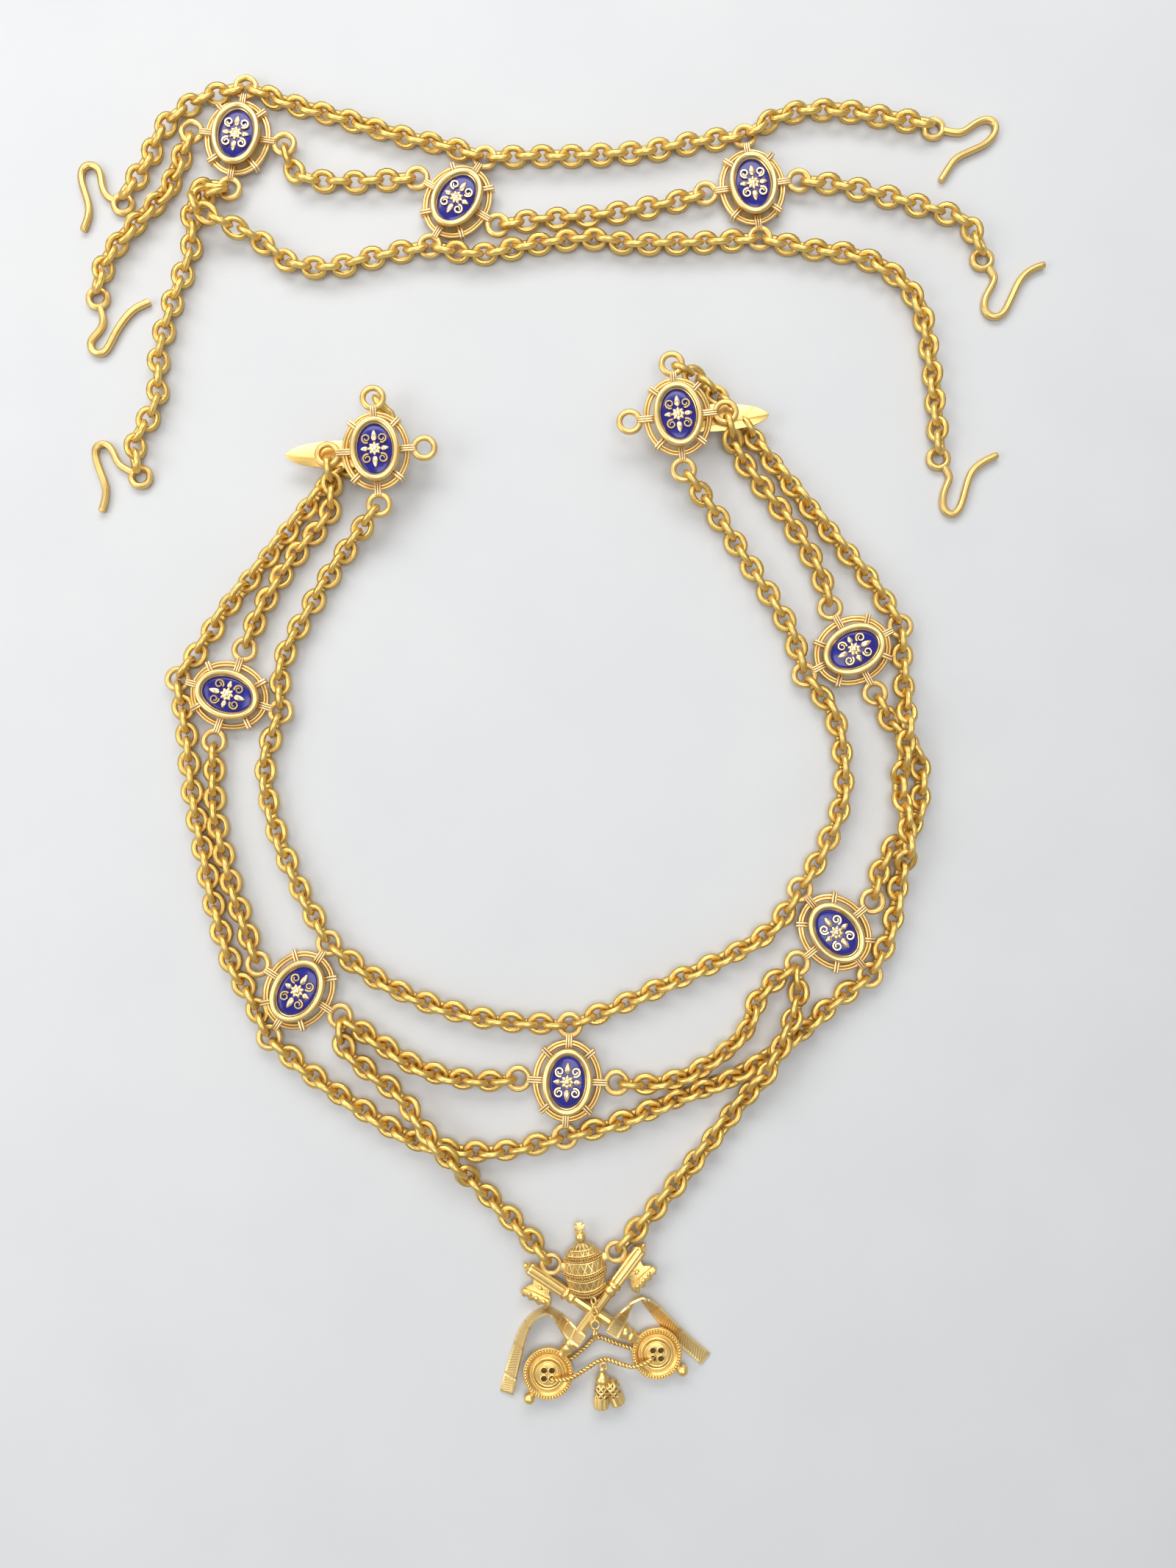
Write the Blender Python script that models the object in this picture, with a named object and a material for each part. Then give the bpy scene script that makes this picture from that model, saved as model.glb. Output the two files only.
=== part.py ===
# Chain collar: three rows of cable chain between oval enamelled medallions, with a badge of a
# crown and crossed keys. It lies flat on z = 0, the back section apart from the front one.
import math

import bmesh
import bpy
from mathutils import Matrix, Vector

MM = 0.001
GAP = 0.3 * MM

# Places are pixels of the photograph, x to the right and y down, seen by a camera over the table.
PHOTO_MIDDLE = (800.0, 1066.5)
FOCAL_PIXELS = 1600.0
CAMERA_REACH = 432 * MM
CAMERA_TILT = math.radians(3.2)

# Chain, drawn as a plain tube that the fine links fill.
CHAIN_RADIUS = 3.0 * MM
LOW_RADIUS = 2.0 * MM
NECK_RADIUS = 0.8 * MM
TIP_RADIUS = 1.2 * MM
BRIDGE_RADIUS = 1.3 * MM
CHAIN_STEP = 18 * MM
END_RUN = 4 * MM
EYE_CLEAR = 18 * MM

# Rings of the medallions, the eyes of the hooks and the rings of the badge.
EYE_OUTER = 9.8 * MM
EYE_WIRE = 2.3 * MM
EYE_SIDES = 10
WIRE_SIDES = 4

# Medallion.
FRAME_SEMI_X = 11.4 * MM
FRAME_SEMI_Y = 13.6 * MM
FRAME_WIRE = 2.2 * MM
FRAME_HEIGHT = 3.4 * MM
FRAME_SIDES = 12
SETTING_SEMI_X = 9.05 * MM
SETTING_SEMI_Y = 11.95 * MM
SETTING_HEIGHT = 7.7 * MM
RIM_WIDTH = 2.7 * MM
RIM_DEPTH = 1.9 * MM
SETTING_SIDES = 12
SEAT_DEPTH = 2.6 * MM
ENAMEL_THICKNESS = 1.0 * MM
ENAMEL_BEVEL = 0.5 * MM
ORNAMENT_LENGTH = 14.0 * MM
ORNAMENT_WIDTH = 10.4 * MM
ORNAMENT_THICKNESS = 0.5 * MM
ORNAMENT_POINTS = 12
TIE_WIDTH = 1.9 * MM
TIE_DEPTH = 2.0 * MM
RING_GAP = 0.2 * MM

# Tongues behind the end medallions.
TONGUE_REACH = 34 * MM
TONGUE_WIDTH = 9.6 * MM
TONGUE_THICKNESS = 0.8 * MM
TONGUE_OUTLINE = [(0.12, 0.90), (0.40, 1.0), (0.62, 0.93), (0.80, 0.73), (0.92, 0.42)]

# The end medallions lie on the chain that passes behind them.
END_LIFT = 2 * CHAIN_RADIUS + 1.5 * GAP

# Hooks.
HOOK_WIRE = 2.5 * MM
HOOK_LEVEL = 0

# Badge, in its own frame: the keys cross at the origin, the crown stands at +Y.
BADGE_PLACE = (808.0, 1779.0)
KEY_HEIGHT = 3.2 * MM
KEY_STEP = 0.5 * MM
BADGE_REACH = 40 * MM
KEY_TO_BOW = 58 * MM
KEY_TO_CROSSING = 0.517 * KEY_TO_BOW
KEY_BARREL = 3.8 * MM
BOW_DIAMETER = 19.0 * MM
BOW_THICKNESS = 3.4 * MM
BOW_SIDES = 12
BOW_BALL = 4.2 * MM
BIT_THICKNESS = 2.2 * MM
BIT_WIDTH = 9.3 * MM
CROWN_BASE = (-0.06, 0.125)
CROWN_LEAN = math.radians(8)
CROWN_HEIGHT = 20.8 * MM
CROWN_WIDTH = 15.1 * MM
CROWN_DEPTH = 6.2 * MM
CROWN_SIDES = 10
CROWN_BALL = 4.0 * MM
CROSS_SPAN = 4.2 * MM
CROSS_BAR = 1.2 * MM
BADGE_EYE = 8.3 * MM
BADGE_EYE_WIRE = 2.0 * MM
RIBBON_WIDTH = 5.0 * MM
RIBBON_THICKNESS = 0.8 * MM
HANGER_OUTER = 3.8 * MM
HANGER_WIRE = 0.9 * MM
TWIST_DIAMETER = 1.6 * MM
TASSEL_LENGTH = 17.4 * MM
TASSEL_WIDTH = 5.5 * MM

GILT = ("gilt", (0.86, 0.58, 0.20), 0.32, 1.0)
ANTIQUE = ("antique_gilt", (0.72, 0.50, 0.22), 0.36, 1.0)
ENAMEL = ("blue_enamel", (0.02, 0.03, 0.32), 0.12, 0.0)

# Medallions: centre in the photograph, turn in degrees, lift off the table, side of a tongue.
MEDALLIONS = {
    "back_left": ((323.5, 187.5), -8, 0.0, 0),
    "back_middle": ((622.3, 274.4), -31, 0.0, 0),
    "back_right": ((1023.5, 254.6), 8, 0.0, 0),
    "end_left": ((511.6, 613.8), 4, END_LIFT, -1),
    "side_left": ((312.0, 946.0), -107.5, 0.0, 0),
    "lower_left": ((407.0, 1347.0), -31.9, 0.0, 0),
    "centre": ((772.0, 1470.0), -2.4, 0.0, 0),
    "lower_right": ((1136.0, 1268.0), 39, 0.0, 0),
    "side_right": ((1160.0, 885.0), 117, 0.0, 0),
    "end_right": ((922.0, 567.0), 6, END_LIFT, 1),
}

# Hooks: centre of the eye, then the wire from the eye to its tip.
HOOKS = {
    "hook_top_left": ((167.4, 277.8), [(139, 259), (135, 236), (122, 222), (111, 235),
                                       (121, 280), (114, 312)]),
    "hook_mid_left": ((133.4, 406.0), [(141, 438), (123, 464), (127, 479), (141, 481),
                                       (163, 443), (182, 421), (204, 410)]),
    "hook_bottom_left": ((191.4, 649.0), [(162, 632), (153, 611), (140, 603), (129, 615),
                                          (144, 663), (138, 696)]),
    "hook_top_right": ((1270.0, 175.5), [(1308, 181), (1325, 169), (1344, 162), (1356, 176),
                                         (1342, 195), (1300, 216), (1280, 246)]),
    "hook_mid_right": ((1336.3, 353.4), [(1354, 377), (1341, 404), (1339, 421), (1354, 432),
                                         (1371, 417), (1390, 378), (1421, 360)]),
    "hook_bottom_right": ((1276.8, 624.0), [(1293, 648), (1283, 676), (1283, 693), (1296, 700),
                                            (1309, 683), (1323, 641), (1357, 619)]),
}

# Chain routes: eyes by name, and the photograph's places between them. "low" slims and lowers the
# chain where another one crosses over it, which is "high"; "under" passes behind a medallion.
ROUTES = {
    "chain_back_top": [
        "hook_top_left", (201, 219), (225, 172), (272, 137), "back_left.top", (392, 141),
        (465, 161), (540, 184), (600, 198), "back_middle.top", (725, 213), (800, 212), (880, 206),
        (953, 193), "back_right.top", (1065, 157), (1130, 150), (1198, 159), "hook_top_right"],
    "chain_back_middle_1": [
        "hook_mid_left", (147, 352), (190, 300), (226, 262), (245, 220), "back_left.left"],
    "chain_back_middle_2": [
        "back_left.right", (404, 236), (455, 248), (515, 246), "back_middle.left"],
    "chain_back_middle_3": [
        "back_middle.right", (728, 300), (790, 296), (853, 288), (910, 277), "back_right.left"],
    "chain_back_middle_4": [
        "back_right.right", (1140, 252), (1208, 268), (1262, 284), (1314, 303), "hook_mid_right"],
    "chain_back_bottom": [
        "hook_bottom_left", (185, 602), (212, 548), (217, 480), (236, 408), (260, 340),
        (264, 278), "back_left.bottom", (345, 318), (395, 357), (450, 364), (515, 349),
        "back_middle.bottom", (650, 346), (720, 334), (800, 325), (860, 332), (960, 330),
        "back_right.bottom", (1095, 338), (1160, 347), (1212, 371), (1250, 415), (1266, 490),
        (1274, 565), "hook_bottom_right"],
    "chain_inner": [
        "end_left.bottom", (472, 748), (425, 822), (385, 900), "side_left.top", (362, 1035),
        (371, 1112), (405, 1202), "lower_left.top", (510, 1330), (590, 1367), (675, 1388),
        "centre.top", (840, 1369), (920, 1333), (1000, 1296), (1052, 1262), "lower_right.top",
        (1120, 1157), (1146, 1085), (1144, 1010), (1130, 965), "side_right.top", (1074, 855),
        (1030, 784), (978, 706), "end_right.bottom"],
    "chain_middle_1": [
        "end_left.left", (450, 692), (405, 752), (360, 820), "side_left.left"],
    "chain_middle_2": [
        "side_left.right", (292, 1060), (294, 1110), (312, 1192), (331, 1252), "lower_left.left"],
    "chain_middle_3": [
        "lower_left.right", (510, 1414), (575, 1454), (650, 1470), "centre.left"],
    "chain_middle_4": [
        "centre.right", (890, 1474), (945, 1458), (1010, 1407), (1036, 1352), "lower_right.left"],
    "chain_middle_5": [
        "lower_right.right", (1199, 1180), (1212, 1155, "low"), (1229, 1138, "low"),
        (1243, 1118, "low"), (1251, 1095), (1250, 1034), (1232, 1006, "low"), (1212, 982, "low"),
        "side_right.left"],
    "chain_middle_6": [
        "side_right.right", (1112, 772), (1063, 695), (1005, 618), "end_right.right"],
    "chain_outer": [
        "end_left.top", (527, 565, "under"), (524, 610, "under"), (445, 655, "under"),
        (414, 697), (360, 765), (305, 833), (280, 872), "side_left.bottom",
        (253, 985), (261, 1070), (277, 1158), (298, 1257), (318, 1316), (342, 1357),
        "lower_left.bottom", (420, 1458), (490, 1507), (568, 1552, "low"), (637, 1566, "low"),
        (700, 1563), "centre.bottom", (840, 1527), (930, 1491),
        (1008, 1460, "low"), (1092, 1402, "low"), (1129, 1368),
        "lower_right.bottom", (1206, 1281), (1218, 1238), (1223, 1196), (1230, 1160, "high"),
        (1228, 1115, "high"), (1224, 1068), (1227, 1020, "high"), (1229, 975, "high"), (1230, 935),
        "side_right.bottom", (1190, 798), (1130, 726), (1063, 645), (1035, 610),
        (1000, 563, "under"), (950, 517, "under"), "end_right.top"],
    "chain_badge_left": [
        "lower_left.right", (468, 1422), (500, 1456), (545, 1492), (583, 1537, "high"),
        (613, 1572, "high"), (650, 1612), (715, 1678), "badge.left"],
    "chain_badge_right": [
        "lower_right.left", (1086, 1356), (1066, 1405, "high"), (1041, 1456, "high"), (1008, 1499),
        (955, 1567), (890, 1646), "badge.right"],
}

# Height of the chain's middle and its radius at each kind of place.
LEVELS = {
    "rest": (CHAIN_RADIUS, CHAIN_RADIUS),
    "low": (LOW_RADIUS, LOW_RADIUS),
    "high": (2 * LOW_RADIUS + GAP + CHAIN_RADIUS, CHAIN_RADIUS),
    "under": (CHAIN_RADIUS, CHAIN_RADIUS),
    "bridge": (END_LIFT + BRIDGE_RADIUS, BRIDGE_RADIUS),
}


def spot(place, height=0.0):
    """Point at a height over the table that the photograph shows at a place."""
    across = place[0] - PHOTO_MIDDLE[0]
    down = place[1] - PHOTO_MIDDLE[1]
    drop = FOCAL_PIXELS * math.cos(CAMERA_TILT) + down * math.sin(CAMERA_TILT)
    reach = (CAMERA_REACH * math.cos(CAMERA_TILT) - height) / drop
    ahead = FOCAL_PIXELS * math.sin(CAMERA_TILT) - down * math.cos(CAMERA_TILT)
    return Vector((reach * across, reach * ahead - CAMERA_REACH * math.sin(CAMERA_TILT), height))


def medallion_matrix(name):
    """Place of a medallion's own frame, at the back of its setting."""
    centre, turn, lift, _ = MEDALLIONS[name]
    middle = spot(centre, lift + FRAME_HEIGHT)
    middle.z = lift
    return Matrix.Translation(middle) @ Matrix.Rotation(math.radians(turn), 4, "Z")


def ring_centres():
    """Centres of the four rings in a medallion's own frame."""
    reach = (FRAME_WIRE + EYE_OUTER) / 2 + RING_GAP
    return {
        "top": Vector((0, FRAME_SEMI_Y + reach, FRAME_HEIGHT)),
        "left": Vector((-FRAME_SEMI_X - reach, 0, FRAME_HEIGHT)),
        "bottom": Vector((0, -FRAME_SEMI_Y - reach, FRAME_HEIGHT)),
        "right": Vector((FRAME_SEMI_X + reach, 0, FRAME_HEIGHT)),
    }


# Places in the badge's own frame are shares of its reach.
BADGE_EYES = {
    "left": Vector((-0.378 * BADGE_REACH, 0.412 * BADGE_REACH, FRAME_HEIGHT)),
    "right": Vector((0.195 * BADGE_REACH, 0.520 * BADGE_REACH, FRAME_HEIGHT)),
}


def eye(name):
    """Centre of a named eye, and its outer radius."""
    if name in HOOKS:
        return spot(HOOKS[name][0], HOOK_WIRE / 2), EYE_OUTER / 2
    owner, side = name.split(".")
    if owner == "badge":
        return spot(BADGE_PLACE) + BADGE_EYES[side], BADGE_EYE / 2
    return medallion_matrix(owner) @ ring_centres()[side], EYE_OUTER / 2


# The tongues lie under these rings, so the chains stop beside them.
TONGUE_EYES = {"end_left.left", "end_right.right"}


def end_points(name, toward):
    """Points of a chain's end at an eye, from the eye outward, as (x, y, z, radius)."""
    centre, outer = eye(name)
    away = (toward.xy - centre.xy).normalized()
    if name in TONGUE_EYES:
        height, radius = LEVELS["bridge"]
        tip = centre.xy + away * (outer + 2 * GAP)
        body = centre.xy + away * (outer + 2 * GAP + END_RUN)
        return [(tip.x, tip.y, centre.z, TIP_RADIUS), (body.x, body.y, height, radius)]
    if centre.z > 2 * CHAIN_RADIUS:
        lowest = centre.z - EYE_WIRE - 2 * GAP
        return [(centre.x, centre.y, centre.z + NECK_RADIUS, NECK_RADIUS),
                (centre.x, centre.y, lowest, NECK_RADIUS)]
    tip = centre.xy + away * (outer + GAP * 1.2)
    body = centre.xy + away * (outer + GAP + END_RUN)
    return [(tip.x, tip.y, max(centre.z, TIP_RADIUS), TIP_RADIUS),
            (body.x, body.y, CHAIN_RADIUS, CHAIN_RADIUS)]


def through_points(name, before, after):
    """Points of a chain that goes over a ring's wire, down through it and out under it."""
    centre, outer = eye(name)
    along = (after.xy - before.xy).normalized()
    back = (before.xy - centre.xy).normalized()
    ahead = (after.xy - centre.xy).normalized()
    over = EYE_WIRE / 2 + NECK_RADIUS + 4 * GAP
    low = NECK_RADIUS + GAP / 3
    stations = [
        (back * (outer + 1.5 * END_RUN), CHAIN_RADIUS, CHAIN_RADIUS),
        (along * (-outer + END_RUN / 8), centre.z + over, NECK_RADIUS),
        (along * (outer - EYE_WIRE + GAP), low, NECK_RADIUS),
        (along * (outer + 2 * GAP), low, NECK_RADIUS),
        (ahead * (outer + 2 * END_RUN), CHAIN_RADIUS, CHAIN_RADIUS),
    ]
    points = []
    for offset, height, radius in stations:
        flat = centre.xy + offset
        points.append((flat.x, flat.y, height, radius))
    return points


def route_points(route):
    """All points of a route, as (x, y, z, radius). A place close to an eye only sets a direction."""
    anchors = []
    for item in route:
        if isinstance(item, str):
            anchors.append(eye(item)[0])
        else:
            anchors.append(spot(item, LEVELS[item[2] if len(item) > 2 else "rest"][0]))
    points = []
    for index, item in enumerate(route):
        if not isinstance(item, str):
            eyes = [anchors[other] for other in (index - 1, index + 1) if isinstance(route[other], str)]
            near = [(anchors[index].xy - centre.xy).length < EYE_CLEAR for centre in eyes]
            if len(item) > 2 or not any(near):
                height, radius = LEVELS[item[2] if len(item) > 2 else "rest"]
                points.append((anchors[index].x, anchors[index].y, height, radius))
        elif index == 0:
            points += end_points(item, anchors[1])
        elif index == len(route) - 1:
            points += reversed(end_points(item, anchors[-2]))
        else:
            points += through_points(item, anchors[index - 1], anchors[index + 1])
    return points


def smooth_points(points, step):
    """Points of a smooth line through the given ones, about a step apart."""
    flat = [Vector(point[:2]) for point in points]
    reach = [0.0]
    for start, end in zip(flat, flat[1:]):
        reach.append(reach[-1] + max((end - start).length, NECK_RADIUS))
    slopes = []
    for index in range(len(flat)):
        low = max(index - 1, 0)
        high = min(index + 1, len(flat) - 1)
        slopes.append((flat[high] - flat[low]) / (reach[high] - reach[low]))
    line = []
    for index in range(len(flat) - 1):
        span = reach[index + 1] - reach[index]
        steps = max(1, round(span / step))
        for number in range(steps):
            share = number / steps
            square, cube = share ** 2, share ** 3
            place = (flat[index] * (2 * cube - 3 * square + 1)
                     + slopes[index] * span * (cube - 2 * square + share)
                     + flat[index + 1] * (3 * square - 2 * cube)
                     + slopes[index + 1] * span * (cube - square))
            height = points[index][2] + share * (points[index + 1][2] - points[index][2])
            radius = points[index][3] + share * (points[index + 1][3] - points[index][3])
            line.append((place.x, place.y, height, radius))
    line.append(points[-1])
    return line


def make_collection(name):
    collection = bpy.data.collections.new(name)
    bpy.context.scene.collection.children.link(collection)
    return collection


def make_material(name, colour, roughness, metallic):
    material = bpy.data.materials.new(name)
    material.use_nodes = True
    shader = material.node_tree.nodes["Principled BSDF"]
    shader.inputs["Base Color"].default_value = (*colour, 1.0)
    shader.inputs["Roughness"].default_value = roughness
    shader.inputs["Metallic"].default_value = metallic
    return material


def keep_only(item, collection):
    """Move an object to one collection."""
    for other in list(item.users_collection):
        other.objects.unlink(item)
    collection.objects.link(item)
    return item


def tube(name, points, wire_radius, level, closed=False):
    """Curve object along points given as (x, y, z) or (x, y, z, radius)."""
    curve = bpy.data.curves.new(name, "CURVE")
    curve.dimensions = "3D"
    curve.bevel_depth = wire_radius
    curve.bevel_resolution = level
    curve.use_fill_caps = True
    line = curve.splines.new("POLY")
    line.points.add(len(points) - 1)
    for target, point in zip(line.points, points):
        target.co = (*point[:3], 1.0)
        target.radius = point[3] / wire_radius if len(point) > 3 else 1.0
    line.use_cyclic_u = closed
    item = bpy.data.objects.new(name, curve)
    bpy.context.scene.collection.objects.link(item)
    return item


def as_mesh(item):
    """Turn a curve object into a mesh object with welded caps."""
    bpy.context.view_layer.update()
    depsgraph = bpy.context.evaluated_depsgraph_get()
    mesh = bpy.data.meshes.new_from_object(item.evaluated_get(depsgraph))
    shape = bmesh.new()
    shape.from_mesh(mesh)
    bmesh.ops.remove_doubles(shape, verts=shape.verts, dist=0.001 * MM)
    shape.to_mesh(mesh)
    shape.free()
    result = bpy.data.objects.new(item.name, mesh)
    result.matrix_world = item.matrix_world
    bpy.context.scene.collection.objects.link(result)
    bpy.data.objects.remove(item)
    return result


def torus(centre, outer, wire, sides=EYE_SIDES, wire_sides=WIRE_SIDES, turn=(0, 0, 0)):
    """Ring of round wire, given by its outer and wire diameters."""
    bpy.ops.mesh.primitive_torus_add(
        location=centre, rotation=turn, major_segments=sides, minor_segments=wire_sides,
        major_radius=(outer - wire) / 2, minor_radius=wire / 2)
    return bpy.context.object


def box(centre, size, turn=0.0):
    bpy.ops.mesh.primitive_cube_add(size=1, location=centre, rotation=(0, 0, turn))
    item = bpy.context.object
    item.scale = size
    return item


def ball(centre, diameter, sides=6, rings=5):
    bpy.ops.mesh.primitive_uv_sphere_add(
        location=centre, radius=diameter / 2, segments=sides, ring_count=rings)
    return bpy.context.object


def plate(name, outline, thickness, base):
    """Flat plate with a given outline, from its base height up."""
    curve = bpy.data.curves.new(name, "CURVE")
    curve.dimensions = "2D"
    curve.fill_mode = "BOTH"
    curve.extrude = thickness / 2
    line = curve.splines.new("POLY")
    line.points.add(len(outline) - 1)
    for target, point in zip(line.points, outline):
        target.co = (point[0], point[1], 0.0, 1.0)
    line.use_cyclic_u = True
    item = bpy.data.objects.new(name, curve)
    item.location.z = base + thickness / 2
    bpy.context.scene.collection.objects.link(item)
    return as_mesh(item)


def oval_loft(name, semi_x, semi_y, profile, sides):
    """Closed oval body: each profile row insets the oval and sets a height, from below to the top."""
    shape = bmesh.new()
    rows = []
    for inset, height in profile:
        row = []
        for index in range(sides):
            angle = 2 * math.pi * (index + 0.5) / sides
            row.append(shape.verts.new(((semi_x - inset) * math.cos(angle),
                                        (semi_y - inset) * math.sin(angle), height)))
        rows.append(row)
    for low, high in zip(rows, rows[1:]):
        for index in range(sides):
            after = (index + 1) % sides
            shape.faces.new((low[index], low[after], high[after], high[index]))
    shape.faces.new(reversed(rows[0]))
    shape.faces.new(rows[-1])
    mesh = bpy.data.meshes.new(name)
    shape.to_mesh(mesh)
    shape.free()
    item = bpy.data.objects.new(name, mesh)
    bpy.context.scene.collection.objects.link(item)
    return item


def apply_all(item):
    """Bake an object's place, turn and scale into its mesh."""
    bpy.context.view_layer.update()
    item.data.transform(item.matrix_world)
    item.matrix_world = Matrix.Identity(4)


def take_mesh(item):
    """The mesh of an object that is no longer needed itself."""
    mesh = item.data
    bpy.data.objects.remove(item)
    return mesh


def combine(name, base, others):
    """One mesh from a base and the pieces soldered to it."""
    holder = make_collection(name + "_pieces")
    for other in others:
        keep_only(other, holder)
    solder = base.modifiers.new("Solder", "BOOLEAN")
    solder.operation = "UNION"
    solder.solver = "EXACT"
    solder.operand_type = "COLLECTION"
    solder.collection = holder
    bpy.context.view_layer.update()
    depsgraph = bpy.context.evaluated_depsgraph_get()
    mesh = bpy.data.meshes.new_from_object(base.evaluated_get(depsgraph))
    result = bpy.data.objects.new(name, mesh)
    result.matrix_world = base.matrix_world
    bpy.context.scene.collection.objects.link(result)
    for other in [base] + others:
        bpy.data.objects.remove(other)
    bpy.data.collections.remove(holder)
    return result


def finish_part(item, name, material, collection):
    """Name a finished piece, give it its material and file it."""
    item.name = name
    item.data.name = name
    item.data.materials.clear()
    item.data.materials.append(material)
    if item.type == "MESH":
        item.data.shade_smooth()
        item.data.set_sharp_from_angle(angle=math.radians(35))
    return keep_only(item, collection)


def oval_line(semi_x, semi_y, height, sides):
    line = []
    for index in range(sides):
        angle = 2 * math.pi * (index + 0.5) / sides
        line.append((semi_x * math.cos(angle), semi_y * math.sin(angle), height))
    return line


def tie_bars():
    """Short bars from the setting to the frame and on to each ring."""
    bars = []
    for centre in ring_centres().values():
        outward = Vector((centre.x, centre.y, 0)).normalized()
        angle = math.atan2(outward.y, outward.x)
        inner = Vector((SETTING_SEMI_X * outward.x, SETTING_SEMI_Y * outward.y, 0)).length - RIM_WIDTH
        outer = centre.xy.length - (EYE_OUTER - EYE_WIRE) / 2
        middle = outward * (inner + outer) / 2 + Vector((0, 0, FRAME_HEIGHT))
        bars.append(box(middle, (outer - inner, TIE_WIDTH, TIE_DEPTH), angle))
    return bars


def setting_body():
    """Cup with a rolled rim round the seat of the enamel."""
    rim_low = SETTING_HEIGHT - RIM_DEPTH
    profile = [
        (RIM_WIDTH * 0.3, 0.0),
        (RIM_WIDTH * 0.3, rim_low),
        (0.0, (rim_low + SETTING_HEIGHT) / 2),
        (RIM_WIDTH * 0.45, SETTING_HEIGHT),
        (RIM_WIDTH, SETTING_HEIGHT - SEAT_DEPTH),
    ]
    return oval_loft("setting", SETTING_SEMI_X, SETTING_SEMI_Y, profile, SETTING_SIDES)


def tongue_body(side):
    """Leaf-shaped plate that reaches out sideways behind a medallion."""
    half = TONGUE_WIDTH / 2
    upper = [(side * along * TONGUE_REACH, half * share) for along, share in TONGUE_OUTLINE]
    lower = [(x, -y) for x, y in reversed(upper)]
    outline = upper + [(side * TONGUE_REACH, 0.0)] + lower
    return plate("tongue", outline, TONGUE_THICKNESS, 0.0)


def make_medallions(collection, antique, gilt, enamel):
    kinds = {}
    for name in MEDALLIONS:
        side = MEDALLIONS[name][3]
        if side not in kinds:
            frame_line = oval_line(FRAME_SEMI_X, FRAME_SEMI_Y, FRAME_HEIGHT, FRAME_SIDES)
            pieces = [as_mesh(tube("frame", frame_line, FRAME_WIRE / 2, 0, closed=True))]
            for centre in ring_centres().values():
                facing = math.atan2(centre.y, centre.x) + math.pi / EYE_SIDES
                pieces.append(torus(centre, EYE_OUTER, EYE_WIRE, turn=(0, 0, facing)))
            pieces += tie_bars()
            if side:
                pieces.append(tongue_body(side))
            kinds[side] = take_mesh(combine("medallion", setting_body(), pieces))
        item = bpy.data.objects.new(name, kinds[side])
        bpy.context.scene.collection.objects.link(item)
        item.matrix_world = medallion_matrix(name)
        finish_part(item, "medallion_" + name, antique, collection)
    seat_x = SETTING_SEMI_X - RIM_WIDTH - GAP
    seat_y = SETTING_SEMI_Y - RIM_WIDTH - GAP
    seat = SETTING_HEIGHT - SEAT_DEPTH + GAP
    bevelled = [(0.0, seat), (ENAMEL_BEVEL, seat + ENAMEL_THICKNESS)]
    enamel_plate = take_mesh(oval_loft("enamel", seat_x, seat_y, bevelled, SETTING_SIDES))
    ornament_base = seat + ENAMEL_THICKNESS + GAP
    ornament = plate("ornament", ornament_outline(), ORNAMENT_THICKNESS, ornament_base)
    apply_all(ornament)
    ornament = take_mesh(ornament)
    for name in MEDALLIONS:
        for label, mesh, material in (("enamel_", enamel_plate, enamel), ("ornament_", ornament, gilt)):
            item = bpy.data.objects.new(label + name, mesh)
            bpy.context.scene.collection.objects.link(item)
            item.matrix_world = medallion_matrix(name)
            finish_part(item, label + name, material, collection)


def ornament_outline():
    """Rosette between two pointed sprays: a lobed star, longer along Y."""
    outline = []
    for index in range(ORNAMENT_POINTS):
        angle = 2 * math.pi * index / ORNAMENT_POINTS
        share = 1.0 if index % 3 == 0 else 0.5
        outline.append((ORNAMENT_WIDTH / 2 * share * math.sin(angle),
                        ORNAMENT_LENGTH / 2 * share * math.cos(angle)))
    return outline


def make_hooks(collection, gilt):
    for name, (centre, wire) in HOOKS.items():
        middle = HOOK_WIRE / 2
        eye_centre = spot(centre, middle)
        points = [spot(place, middle) for place in wire]
        start = (points[0] - eye_centre).normalized() * (EYE_OUTER - HOOK_WIRE) / 2
        points.insert(0, eye_centre + start)
        shank = as_mesh(tube(name, points, HOOK_WIRE / 2, HOOK_LEVEL))
        ring = torus(eye_centre, EYE_OUTER, HOOK_WIRE)
        finish_part(combine(name, ring, [shank]), name, gilt, collection)


def make_chains(collection, gilt):
    for name, route in ROUTES.items():
        points = smooth_points(route_points(route), CHAIN_STEP)
        finish_part(tube(name, points, CHAIN_RADIUS, 2), name, gilt, collection)


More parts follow.
